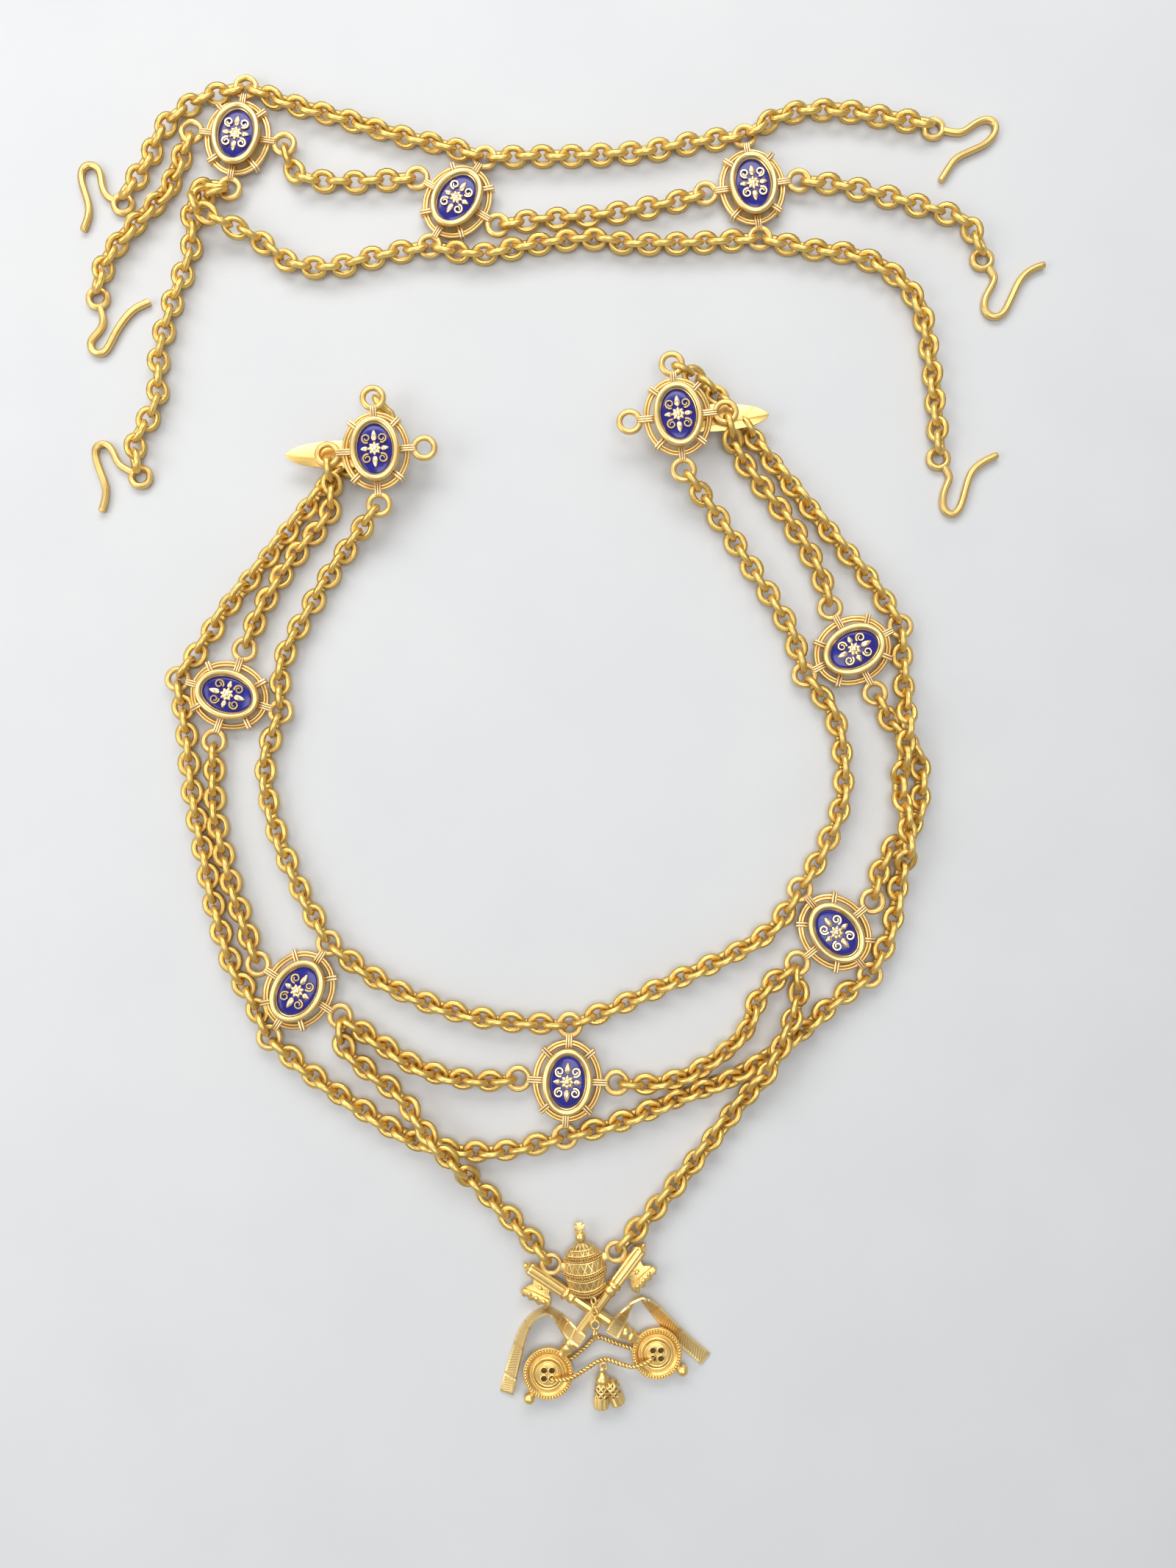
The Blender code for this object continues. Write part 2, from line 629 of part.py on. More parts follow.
def key_pieces(mirror, height):
    """One key along its own x axis: barrel, collar, stem, bit, bow and ball, in shares of its length."""
    stations = [(0.0, 0.30), (0.03, 1.0), (0.32, 1.0), (0.35, 1.2), (0.38, 0.72),
                (0.76, 0.72), (0.79, 1.15), (0.82, 0.72), (0.87, 0.72)]
    points = [(along * KEY_TO_BOW, 0.0, height, share * KEY_BARREL / 2) for along, share in stations]
    pieces = [as_mesh(tube("key", points, KEY_BARREL / 2, 1))]
    bow_profile = [(0.3 * MM, 0.0), (0.0, BOW_THICKNESS * 0.7), (1.0 * MM, BOW_THICKNESS),
                   (2.0 * MM, BOW_THICKNESS * 0.66), (4.4 * MM, BOW_THICKNESS * 0.9)]
    bow = oval_loft("bow", BOW_DIAMETER / 2, BOW_DIAMETER / 2, bow_profile, BOW_SIDES)
    bow.location = (KEY_TO_BOW, 0.0, height - BOW_THICKNESS / 2)
    pieces.append(bow)
    end = KEY_TO_BOW + (BOW_DIAMETER + BOW_BALL * 0.35) / 2
    pieces.append(ball((end, 0.0, height), BOW_BALL))
    bit = [(0.10, 0.1), (0.12, 0.43), (0.096, 0.67), (0.083, 0.92), (0.11, 1.0), (0.134, 0.90),
           (0.155, 0.99), (0.184, 0.88), (0.217, 0.96), (0.24, 0.81), (0.27, 0.92), (0.285, 0.69),
           (0.26, 0.51), (0.231, 0.34), (0.238, 0.1)]
    outline = [(along * KEY_TO_BOW, mirror * share * BIT_WIDTH) for along, share in bit]
    pieces.append(plate("bit", outline, BIT_THICKNESS, height - BIT_THICKNESS / 2))
    return pieces


def crown_pieces():
    """Three-tier crown that lies on its back, its ball and cross, and the two suspension rings."""
    tiers = [(0.0, 0.84), (0.12, 0.88), (0.42, 1.0), (0.62, 0.91), (0.76, 0.79), (0.92, 0.47),
             (1.0, 0.14)]
    shape = bmesh.new()
    rows = []
    for height, share in tiers:
        row = []
        for index in range(CROWN_SIDES):
            angle = 2 * math.pi * index / CROWN_SIDES
            row.append(shape.verts.new((share * CROWN_WIDTH / 2 * math.cos(angle), height * CROWN_HEIGHT,
                                        share * CROWN_DEPTH / 2 * math.sin(angle))))
        rows.append(row)
    for low, high in zip(rows, rows[1:]):
        for index in range(CROWN_SIDES):
            after = (index + 1) % CROWN_SIDES
            shape.faces.new((low[index], high[index], high[after], low[after]))
    shape.faces.new(rows[0])
    shape.faces.new(reversed(rows[-1]))
    mesh = bpy.data.meshes.new("crown")
    shape.to_mesh(mesh)
    shape.free()
    crown = bpy.data.objects.new("crown", mesh)
    bpy.context.scene.collection.objects.link(crown)
    crown.location = (CROWN_BASE[0] * BADGE_REACH, CROWN_BASE[1] * BADGE_REACH, KEY_HEIGHT)
    crown.rotation_euler.z = CROWN_LEAN
    upward = Vector((-math.sin(CROWN_LEAN), math.cos(CROWN_LEAN), 0))
    ball_centre = crown.location + upward * (CROWN_HEIGHT + CROWN_BALL * 0.35)
    cross_centre = ball_centre + upward * CROWN_BALL * 0.9
    crown_x = crown.location.x + upward.x * CROWN_HEIGHT / 2
    apply_all(crown)
    pieces = [
        ball(ball_centre, CROWN_BALL),
        box(cross_centre, (CROSS_SPAN, CROSS_BAR, CROSS_BAR * 0.9)),
        box(cross_centre, (CROSS_BAR, CROSS_SPAN, CROSS_BAR * 1.1)),
    ]
    for centre in BADGE_EYES.values():
        pieces.append(torus(centre, BADGE_EYE, BADGE_EYE_WIRE))
        inward = Vector((crown_x - centre.x, -BADGE_EYE / 4, 0))
        near = BADGE_EYE / 2 - BADGE_EYE_WIRE / 2
        lug = centre + inward.normalized() * (inward.length + near) / 2
        size = (inward.length - near, BADGE_EYE_WIRE * 1.6, BADGE_EYE_WIRE * 0.9)
        pieces.append(box(lug, size, math.atan2(inward.y, inward.x)))
    return crown, pieces


# Ribbons: places of the middle line in the badge's frame as shares of its reach, and the twist in
# degrees, 90 where the ribbon stands on edge.
RIBBONS = {
    "left": [(-0.101, -0.23, 8), (-0.21, -0.163, 27), (-0.29, -0.087, 56), (-0.39, -0.007, 82),
             (-0.508, -0.034, 78), (-0.625, -0.19, 58), (-0.705, -0.438, 38), (-0.782, -0.75, 8)],
    "right": [(0.155, -0.175, 5), (0.215, -0.087, 20), (0.27, -0.02, 45), (0.372, 0.095, 78),
              (0.52, 0.075, 56), (0.675, -0.08, 38), (1.02, -0.453, 0)],
}


def ribbon_piece(side):
    """Flat ribbon that turns on its edge over an arch."""
    stations = []
    for x, y, twist in RIBBONS[side]:
        stations.append((Vector((x * BADGE_REACH, y * BADGE_REACH, 0)), math.radians(twist)))
    shape = bmesh.new()
    rows = []
    for index, (place, twist) in enumerate(stations):
        before = stations[max(index - 1, 0)][0]
        after = stations[min(index + 1, len(stations) - 1)][0]
        along = (after - before).normalized()
        across = Vector((-along.y, along.x, 0)) * math.cos(twist) + Vector((0, 0, 1)) * math.sin(twist)
        normal = along.cross(across)
        lift = RIBBON_WIDTH / 2 * abs(math.sin(twist)) + RIBBON_THICKNESS / 2 * abs(math.cos(twist))
        middle = place + Vector((0, 0, max(lift, KEY_HEIGHT * (1 - index / (len(stations) - 1)))))
        corners = ((-1, -1), (1, -1), (1, 1), (-1, 1))
        side_step = across * RIBBON_WIDTH / 2
        face_step = normal * RIBBON_THICKNESS / 2
        row = [shape.verts.new(middle + side_step * wide + face_step * deep) for wide, deep in corners]
        rows.append(row)
    for low, high in zip(rows, rows[1:]):
        shape.faces.new((low[0], low[1], high[1], high[0]))
        shape.faces.new((low[1], low[2], high[2], high[1]))
        shape.faces.new((low[3], high[3], high[2], low[2]))
        shape.faces.new((low[0], high[0], high[3], low[3]))
    shape.faces.new(reversed(rows[0]))
    shape.faces.new(rows[-1])
    bmesh.ops.triangulate(shape, faces=shape.faces, quad_method="FIXED")
    bmesh.ops.recalc_face_normals(shape, faces=shape.faces)
    mesh = bpy.data.meshes.new("ribbon")
    shape.to_mesh(mesh)
    shape.free()
    item = bpy.data.objects.new("ribbon", mesh)
    bpy.context.scene.collection.objects.link(item)
    return item


def make_badge(collection, gilt):
    base, pieces = crown_pieces()
    for turn, mirror, height in ((-33.2, -1, KEY_HEIGHT), (-127.4, 1, KEY_HEIGHT + KEY_STEP)):
        heading = Matrix.Rotation(math.radians(turn), 4, "Z")
        place = heading @ Matrix.Translation((-KEY_TO_CROSSING, 0, 0))
        group = key_pieces(mirror, height)
        bpy.context.view_layer.update()
        for piece in group:
            piece.matrix_world = place @ piece.matrix_world
            pieces.append(piece)
    pieces += [ribbon_piece("left"), ribbon_piece("right")]
    bpy.context.view_layer.update()
    whole = combine("badge", base, pieces)
    whole.matrix_world = Matrix.Translation(spot(BADGE_PLACE))
    finish_part(whole, "badge", gilt, collection)


# Twisted wires: places of the middle line in the badge's frame, in shares of its reach.
TWISTS = {
    "twist_upper": [(-0.21, -0.425, 0.06), (-0.087, -0.338, 0.04), (0.02, -0.245, 0.04),
                    (0.182, -0.29, 0.04), (0.34, -0.333, 0.06)],
    "twist_lower": [(-0.392, -0.588, 0.165), (-0.215, -0.56, 0.17), (-0.087, -0.512, 0.105),
                    (0.08, -0.432, 0.065), (0.233, -0.463, 0.085), (0.365, -0.472, 0.165),
                    (0.54, -0.432, 0.165)],
}


def make_hanger(collection, gilt):
    """Two small links under the crossing, and the two twisted wires."""
    place = Matrix.Translation(spot(BADGE_PLACE))
    rise = KEY_HEIGHT + KEY_STEP + KEY_BARREL / 2 + HANGER_WIRE / 2
    first = Vector((0.012 * BADGE_REACH, -0.090 * BADGE_REACH, rise))
    second = first - Vector((0, HANGER_OUTER - HANGER_WIRE, 0))
    upper = torus(first, HANGER_OUTER, HANGER_WIRE)
    lower = torus(second, HANGER_OUTER, HANGER_WIRE)
    hanger = combine("hanger", upper, [lower])
    hanger.matrix_world = place @ hanger.matrix_world
    finish_part(hanger, "hanger", gilt, collection)
    for name, line in TWISTS.items():
        points = [(x * BADGE_REACH, y * BADGE_REACH, z * BADGE_REACH) for x, y, z in line]
        item = tube(name, points, TWIST_DIAMETER / 2, 2)
        item.matrix_world = place
        finish_part(item, name, gilt, collection)


def tassel_body(heading, stations):
    """Turned body along a heading: stations of distance and width, in shares of the tassel's own."""
    start = Vector((0.072 * BADGE_REACH, -0.475 * BADGE_REACH, TASSEL_WIDTH / 2))
    points = []
    for distance, share in stations:
        place = start + heading.normalized() * distance * TASSEL_LENGTH
        points.append((*place, share * TASSEL_WIDTH / 2))
    return as_mesh(tube("tassel", points, TASSEL_WIDTH / 2, 1))


def make_tassel(collection, gilt):
    """Tassel: bulb and net head, and two skirts side by side."""
    place = Matrix.Translation(spot(BADGE_PLACE))
    bulb = [(0.0, 0.28), (0.24, 0.62), (0.37, 0.98), (0.46, 0.78), (0.54, 0.90)]
    left = [(0.40, 0.60), (0.55, 1.0), (0.98, 1.0)]
    right = [(0.40, 0.60), (0.58, 1.0), (0.92, 0.92)]
    skirts = [tassel_body(Vector((-0.02, -1.0, 0)), left), tassel_body(Vector((0.44, -1.0, 0)), right)]
    body = combine("tassel", tassel_body(Vector((0.05, -1.0, 0)), bulb), skirts)
    body.matrix_world = place @ body.matrix_world
    finish_part(body, "tassel", gilt, collection)


def settle(collection):
    """Put everything under one empty, with the origin at the middle of the base."""
    bpy.context.view_layer.update()
    depsgraph = bpy.context.evaluated_depsgraph_get()
    low = Vector((math.inf, math.inf, math.inf))
    high = -low
    for item in collection.objects:
        mesh = item.evaluated_get(depsgraph).to_mesh()
        for vertex in mesh.vertices:
            corner = item.matrix_world @ vertex.co
            low = Vector(map(min, low, corner))
            high = Vector(map(max, high, corner))
        item.evaluated_get(depsgraph).to_mesh_clear()
    holder = bpy.data.objects.new("collar", None)
    collection.objects.link(holder)
    for item in list(collection.objects):
        if item is not holder:
            item.parent = holder
    holder.location = -Vector(((low.x + high.x) / 2, (low.y + high.y) / 2, low.z))


def build():
    for item in list(bpy.data.objects):
        bpy.data.objects.remove(item)
    collection = make_collection("chain_collar")
    gilt = make_material(*GILT)
    antique = make_material(*ANTIQUE)
    enamel = make_material(*ENAMEL)
    make_medallions(collection, antique, gilt, enamel)
    make_hooks(collection, gilt)
    make_chains(collection, gilt)
    make_badge(collection, gilt)
    make_hanger(collection, gilt)
    make_tassel(collection, gilt)
    settle(collection)


build()
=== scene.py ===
import math
import random

import bpy
from mathutils import Matrix, Vector


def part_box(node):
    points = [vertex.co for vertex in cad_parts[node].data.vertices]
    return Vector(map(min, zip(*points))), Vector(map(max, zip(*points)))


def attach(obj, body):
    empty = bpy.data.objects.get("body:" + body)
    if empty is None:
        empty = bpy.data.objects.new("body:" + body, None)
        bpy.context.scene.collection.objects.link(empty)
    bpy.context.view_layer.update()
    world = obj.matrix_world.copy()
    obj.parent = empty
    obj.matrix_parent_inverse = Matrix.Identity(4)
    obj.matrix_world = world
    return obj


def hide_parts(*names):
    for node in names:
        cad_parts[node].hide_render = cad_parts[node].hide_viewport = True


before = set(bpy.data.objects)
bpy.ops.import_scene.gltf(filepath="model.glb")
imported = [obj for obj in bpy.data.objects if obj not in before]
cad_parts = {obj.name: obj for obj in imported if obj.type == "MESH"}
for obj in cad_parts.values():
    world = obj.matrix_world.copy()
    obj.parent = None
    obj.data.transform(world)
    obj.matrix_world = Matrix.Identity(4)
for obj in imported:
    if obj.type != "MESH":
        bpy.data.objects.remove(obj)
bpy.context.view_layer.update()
bpy.ops.object.select_all(action="DESELECT")


# The view, the table and the light. The collar was photographed from 43 cm above a table, the camera
# leaning 3.2 degrees. Places below are pixels of that picture, 1600 wide and 2133 high.
MM = 0.001
REACH = 432 * MM
LEAN = math.radians(3.2)


def spot(place, height=0.0, shift=Vector((0, 0, 0))):
    """Point at a height over the table that the picture shows at a place."""
    across = place[0] - 800.0
    down = place[1] - 1066.5
    drop = 1600.0 * math.cos(LEAN) + down * math.sin(LEAN)
    reach = (REACH * math.cos(LEAN) - height) / drop
    ahead = 1600.0 * math.sin(LEAN) - down * math.cos(LEAN)
    return Vector((reach * across, reach * ahead - REACH * math.sin(LEAN), height)) + shift


low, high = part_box("enamel_centre")
SHIFT = (Vector(low) + Vector(high)) / 2 - spot((772, 1470), 3.4 * MM)
SHIFT.z = 0.0

camera = bpy.data.objects.new("camera", bpy.data.cameras.new("camera"))
bpy.context.scene.collection.objects.link(camera)
camera.data.lens = 27.0
camera.data.sensor_width = 36.0
camera.data.clip_start = 0.01
camera.location = SHIFT + Vector((0, -REACH * math.sin(LEAN), REACH * math.cos(LEAN)))
camera.rotation_euler = (LEAN, 0, 0)
bpy.context.scene.camera = camera
bpy.context.scene.view_settings.view_transform = "Standard"


class Tint:
    """A socket in a finish's node tree. Sums of tints add Math nodes, and node() adds any other."""

    def __init__(self, tree, socket=None):
        self.tree = tree
        self.socket = socket

    def node(self, kind, settings, sockets, output=0):
        made = self.tree.nodes.new(kind)
        for key, value in settings.items():
            if key == "stops":
                ramp = made.color_ramp.elements
                ramp[0].position, ramp[0].color = value[0]
                ramp[1].position, ramp[1].color = value[-1]
                for position, colour in value[1:-1]:
                    ramp.new(position).color = colour
            else:
                setattr(made, key, value)
        for key, value in sockets.items():
            if isinstance(value, Tint):
                self.tree.links.new(value.socket, made.inputs[key])
            else:
                made.inputs[key].default_value = value
        return Tint(self.tree, made.outputs[output])

    def maths(self, operation, *values):
        return self.node("ShaderNodeMath", {"operation": operation}, dict(enumerate(values)))

    def __add__(self, other):
        return self.maths("ADD", self, other)

    def __sub__(self, other):
        return self.maths("SUBTRACT", self, other)

    def __rsub__(self, other):
        return self.maths("SUBTRACT", other, self)

    def __mul__(self, other):
        return self.maths("MULTIPLY", self, other)

    def __pow__(self, other):
        return self.maths("POWER", self, other)

    __radd__ = __add__
    __rmul__ = __mul__

    def wave(self):
        """0 to 1 and back, once for each whole step of the value."""
        return self.maths("SINE", self * (2 * math.pi)) * 0.5 + 0.5

    def blend(self, low_colour, high_colour):
        """Colour from the first to the second as the value goes from 0 to 1."""
        return self.node("ShaderNodeMix", {"data_type": "RGBA"},
                         {0: self, 6: low_colour, 7: high_colour}, 2)


def new_finish(name, **fixed):
    """A material with its unvarying sockets set. Returns it, its shader and a start for its nodes."""
    material = bpy.data.materials.new(name)
    material.use_nodes = True
    shader = material.node_tree.nodes["Principled BSDF"]
    for key, value in fixed.items():
        shader.inputs[key.replace("_", " ")].default_value = value
    return material, shader, Tint(material.node_tree)


def grain(start, size, detail=3.0, stretch=(1, 1, 1)):
    """Noise from 0 to 1 with spots of a size in metres, fixed to the object."""
    where = start.node("ShaderNodeTexCoord", {}, {}, "Object")
    scaled = start.node("ShaderNodeMapping", {}, {"Vector": where, "Scale": stretch})
    return start.node("ShaderNodeTexNoise", {}, {"Vector": scaled, "Scale": 1 / size, "Detail": detail})


def connect(shader, **links):
    for key, value in links.items():
        value.tree.links.new(value.socket, shader.inputs[key.replace("_", " ")])


def bump(height, depth, strength=1.0):
    return height.node("ShaderNodeBump", {}, {"Height": height, "Distance": depth, "Strength": strength})


bpy.ops.mesh.primitive_plane_add(size=4, location=(0, 0, 0))
table = bpy.context.object
table.name = "table"
table_finish, shader, start = new_finish("table_finish", Roughness=0.62)
mottle = grain(start, 0.05)
connect(shader, Base_Color=mottle.blend((0.56, 0.56, 0.56, 1), (0.61, 0.61, 0.60, 1)),
        Normal=bump(grain(start, 0.0012), 0.00004))
table.data.materials.append(table_finish)

for name, place, turn, size, power in (
        ("window_light", (-0.25, 0.95, 0.85), (-48, 0, 0), (1.5, 0.5), 12.0),
        ("left_light", (-0.9, -0.1, 0.7), (0, -52, 0), (0.6, 0.8), 5.0),
        ("over_light", (0.15, -0.15, 1.5), (-5, 5, 0), (0.8, 0.8), 8.0)):
    light = bpy.data.objects.new(name, bpy.data.lights.new(name, "AREA"))
    bpy.context.scene.collection.objects.link(light)
    light.data.shape = "RECTANGLE"
    light.data.size, light.data.size_y = size
    light.data.energy = power
    light.location = place
    light.rotation_euler = [math.radians(angle) for angle in turn]
world = bpy.data.worlds.new("room")
world.use_nodes = True
world.node_tree.nodes["Background"].inputs["Color"].default_value = (0.90, 0.94, 1.0, 1)
world.node_tree.nodes["Background"].inputs["Strength"].default_value = 0.44
bpy.context.scene.world = world


# The links. Each is a bent and soldered piece of gilt brass wire, 2.5 mm thick and drawn with fine
# ridges along it, so that light breaks on it in thin lines.
LINK_LENGTH = 10.4 * MM
LINK_WIDTH = 8.5 * MM
LINK_WIRE = 2.5 * MM
LINK_PITCH = 5.4 * MM
RING_OUTER = 9.8 * MM
RING_WIRE = 2.3 * MM


def ridged_gilt(name, pale, deep, groove_shade, ridges, roughness):
    """Gilt wire with ridges that follow it, with painted shade in the grooves between them."""
    material, shader, start = new_finish(name, Metallic=1.0)
    across = start.node("ShaderNodeUVMap", {}, {})
    across = start.node("ShaderNodeSeparateXYZ", {}, {0: across}, "Y")
    ridge = (across * ridges).wave()
    cloud = grain(start, 0.004)
    tone = cloud.blend(deep, pale)
    # depth mixes in the groove colour between the ridges: painted shade in the grooves.
    depth = (ridge ** 0.4) * 0.85 + 0.15
    connect(shader, Base_Color=depth.blend(groove_shade, tone), Roughness=cloud * 0.06 + roughness,
            Normal=bump(ridge, 0.00005))
    return material


# The third colour is painted shade for the grooves between the link wire's ridges.
link_gilt = ridged_gilt("link_gilt", (1.0, 0.76, 0.27, 1), (0.95, 0.63, 0.16, 1),
                        (0.42, 0.21, 0.04, 1), 12, 0.35)

bpy.ops.mesh.primitive_torus_add(major_segments=16, minor_segments=5, minor_radius=LINK_WIRE / 2,
                                 major_radius=(LINK_WIDTH - LINK_WIRE) / 2)
link = bpy.context.object
link.name = "link"
for vertex in link.data.vertices:
    angle = math.atan2(vertex.co.y, vertex.co.x)
    vertex.co.x += (LINK_LENGTH - LINK_WIDTH) / 2 * math.cos(angle)
bpy.ops.object.shade_smooth()
link.data.materials.append(link_gilt)


def join(name, pieces):
    """One piece from several, each with its place in its mesh."""
    bpy.ops.object.select_all(action="DESELECT")
    for piece in pieces:
        piece.select_set(True)
    bpy.context.view_layer.objects.active = pieces[0]
    bpy.ops.object.transform_apply(location=True, rotation=True, scale=True)
    bpy.ops.object.join()
    whole = bpy.context.object
    whole.name = name
    whole.data.name = name
    bpy.ops.object.select_all(action="DESELECT")
    return whole


def copy_of(piece, matrix):
    """A copy with its own mesh, moved by a matrix."""
    copy = piece.copy()
    copy.data = piece.data.copy()
    copy.data.transform(matrix)
    bpy.context.scene.collection.objects.link(copy)
    return copy


def stand_for(piece, slot, *nodes):
    """A finished piece that rides on the collar in place of its plain solids."""
    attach(piece, "root")
    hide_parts(*nodes)


def smooth_line(points, step):
    """Points of a smooth line through the given ones, about a step apart."""
    line = []
    for index in range(len(points) - 1):
        before = points[max(index - 1, 0)]
        here, there = points[index], points[index + 1]
        after = points[min(index + 2, len(points) - 1)]
        span = (there - here).length
        leave = (there - before).normalized() * span
        arrive = (after - here).normalized() * span
        steps = max(2, round(span / step))
        for number in range(steps):
            t = number / steps
            line.append(here * (2 * t ** 3 - 3 * t ** 2 + 1) + leave * (t ** 3 - 2 * t ** 2 + t)
                        + there * (3 * t ** 2 - 2 * t ** 3) + arrive * (t ** 3 - t ** 2))
    line.append(points[-1])
    return line


# Medallions, where the rows meet: centre in the picture, turn in degrees, and how far the two end
# ones are lifted by the outer row that passes behind them.
MEDALLIONS = {
    "back_left": ((323.5, 187.5), -8, 0),
    "back_middle": ((622.3, 274.4), -31, 0),
    "back_right": ((1023.5, 254.6), 8, 0),
    "end_left": ((511.6, 613.8), 4, -1),
    "side_left": ((312.0, 946.0), -107.5, 0),
    "lower_left": ((407.0, 1347.0), -31.9, 0),
    "centre": ((772.0, 1470.0), -2.4, 0),
    "lower_right": ((1136.0, 1268.0), 39, 0),
    "side_right": ((1160.0, 885.0), 117, 0),
    "end_right": ((922.0, 567.0), 6, 1),
}
END_LIFT = 6.45 * MM
FRAME_LEVEL = 3.4 * MM
RING_REACH = {"top": (0, 19.85), "left": (-17.65, 0), "bottom": (0, -19.85), "right": (17.65, 0)}


def medallion_matrix(name):
    """Place of a medallion's own frame, at the back of its setting."""
    centre, turn, side = MEDALLIONS[name]
    lift = END_LIFT if side else 0.0
    middle = spot(centre, lift + FRAME_LEVEL, SHIFT)
    middle.z = lift
    return Matrix.Translation(middle) @ Matrix.Rotation(math.radians(turn), 4, "Z")


# The rows of chain. Each run of links hangs from a ring, hook or badge at both of its ends. The last
# link stands on edge in the ring, and the others lie as the picture shows them.
HOOK_EYES = {
    "hook_top_left": (167.4, 277.8), "hook_mid_left": (133.4, 406.0), "hook_bottom_left": (191.4, 649.0),
    "hook_top_right": (1270.0, 175.5), "hook_mid_right": (1336.3, 353.4),
    "hook_bottom_right": (1276.8, 624.0),
}
BADGE_PLACE = (808.0, 1779.0)
BADGE_RINGS = {"left": (-15.12, 16.48), "right": (7.8, 20.8)}
ROWS = {
    "chain_back_top": [
        "hook_top_left", (201, 219), (225, 172), (272, 137), "back_left.top", (392, 141),
        (465, 161), (540, 184), (600, 198), "back_middle.top", (725, 213), (800, 212), (880, 206),
        (953, 193), "back_right.top", (1065, 157), (1130, 150), (1198, 159), "hook_top_right"],
    "chain_back_middle_1": [
        "hook_mid_left", (147, 352), (190, 300), (226, 262), (245, 220), "back_left.left"],
    "chain_back_middle_2": [
        "back_left.right", (404, 236), (455, 248), (515, 246), "back_middle.left"],
    "chain_back_middle_3": [
        "back_middle.right", (728, 300), (790, 296), (853, 288), (910, 277), "back_right.left"],
    "chain_back_middle_4": [
        "back_right.right", (1140, 252), (1208, 268), (1262, 284), (1314, 303), "hook_mid_right"],
    "chain_back_bottom": [
        "hook_bottom_left", (185, 602), (212, 548), (217, 480), (236, 408), (260, 340),
        (262, 285), (280, 255), "back_left.bottom", (300, 262), (272, 285, "over"),
        (296, 305, "over"), (345, 322), (395, 357), (450, 364), (515, 349),
        "back_middle.bottom", (650, 346), (720, 334), (800, 325), (860, 332), (960, 330),
        "back_right.bottom", (1095, 338), (1160, 347), (1212, 371), (1250, 415), (1266, 490),
        (1274, 565), "hook_bottom_right"],
    "chain_inner": [
        "end_left.bottom", (472, 748), (425, 822), (385, 900), "side_left.top", (362, 1035),
        (371, 1112), (405, 1202), "lower_left.top", (510, 1330), (590, 1367), (675, 1388),
        "centre.top", (840, 1369), (920, 1333), (1000, 1296), (1052, 1262), "lower_right.top",
        (1120, 1157), (1146, 1085), (1144, 1010), (1130, 965), "side_right.top", (1074, 855),
        (1030, 784), (978, 706), "end_right.bottom"],
    "chain_middle_1": [
        "end_left.left", (450, 692), (405, 752), (360, 820), "side_left.left"],
    "chain_middle_2": [
        "side_left.right", (292, 1060), (294, 1110), (312, 1192), (331, 1252), "lower_left.left"],
    "chain_middle_3": [
        "lower_left.right", (510, 1414), (575, 1454), (650, 1470), "centre.left"],
    "chain_middle_4": [
        "centre.right", (890, 1474), (945, 1458), (1010, 1407), (1036, 1352), "lower_right.left"],
    "chain_middle_5": [
        "lower_right.right", (1199, 1180), (1212, 1155), (1229, 1138), (1243, 1118), (1251, 1095),
        (1250, 1034), (1232, 1006), (1212, 982), "side_right.left"],
    "chain_middle_6": [
        "side_right.right", (1112, 772), (1063, 695), (1005, 618), "end_right.right"],
    "chain_outer": [
        "end_left.top", (524, 562), (508, 608), (452, 652), (414, 697), (360, 765), (305, 833),
        (280, 872), "side_left.bottom", (253, 985), (261, 1070), (277, 1158), (298, 1257),
        (318, 1316), (342, 1357), "lower_left.bottom", (420, 1458), (490, 1507), (568, 1552),
        (637, 1566), (700, 1563), "centre.bottom", (840, 1527), (930, 1491), (1008, 1460),
        (1092, 1402), (1129, 1368), "lower_right.bottom", (1206, 1281), (1218, 1238), (1223, 1196),
        (1230, 1160, "over"), (1228, 1115, "over"), (1224, 1068), (1227, 1020, "over"),
        (1229, 975, "over"), (1230, 935), "side_right.bottom", (1190, 798), (1130, 726),
        (1063, 645), (1035, 610), (1000, 563), (950, 517), "end_right.top"],
    "chain_badge_left": [
        "lower_left.right", (468, 1422), (500, 1456), (545, 1492), (583, 1537, "over"),
        (613, 1572, "over"), (650, 1612), (715, 1678), "badge.left"],
    "chain_badge_right": [
        "lower_right.left", (1086, 1356), (1066, 1405, "over"), (1041, 1456, "over"), (1008, 1499),
        (955, 1567), (890, 1646), "badge.right"],
}
OVER = 5.0 * MM
ROLLED = {
    ("lower_left.top", "centre.top"): 12, ("centre.top", "lower_right.top"): 14,
    ("lower_left.right", "centre.left"): 14, ("centre.right", "lower_right.left"): 24,
    ("lower_left.bottom", "centre.bottom"): 12, ("centre.bottom", "lower_right.bottom"): 26,
    ("end_left.top", "side_left.bottom"): 16, ("side_right.bottom", "end_right.top"): 16,
    ("lower_right.bottom", "side_right.bottom"): 14, ("lower_right.right", "side_right.left"): 14,
    ("lower_right.top", "side_right.top"): 10, ("lower_right.left", "badge.right"): 14,
    ("lower_left.right", "badge.left"): 8,
}
chance = random.Random(11)


def ring_place(name):
    """Centre of a ring, with its lift over a ring that lies flat on the table as its height."""
    if name in HOOK_EYES:
        return spot(HOOK_EYES[name], 1.1 * MM, SHIFT).xy.to_3d()
    owner, side = name.split(".")
    if owner == "badge":
        x, y = BADGE_RINGS[side]
        return (spot(BADGE_PLACE, 0, SHIFT) + Vector((x, y, 0)) * MM).xy.to_3d()
    x, y = RING_REACH[side]
    return medallion_matrix(owner) @ Vector((x * MM, y * MM, 0))


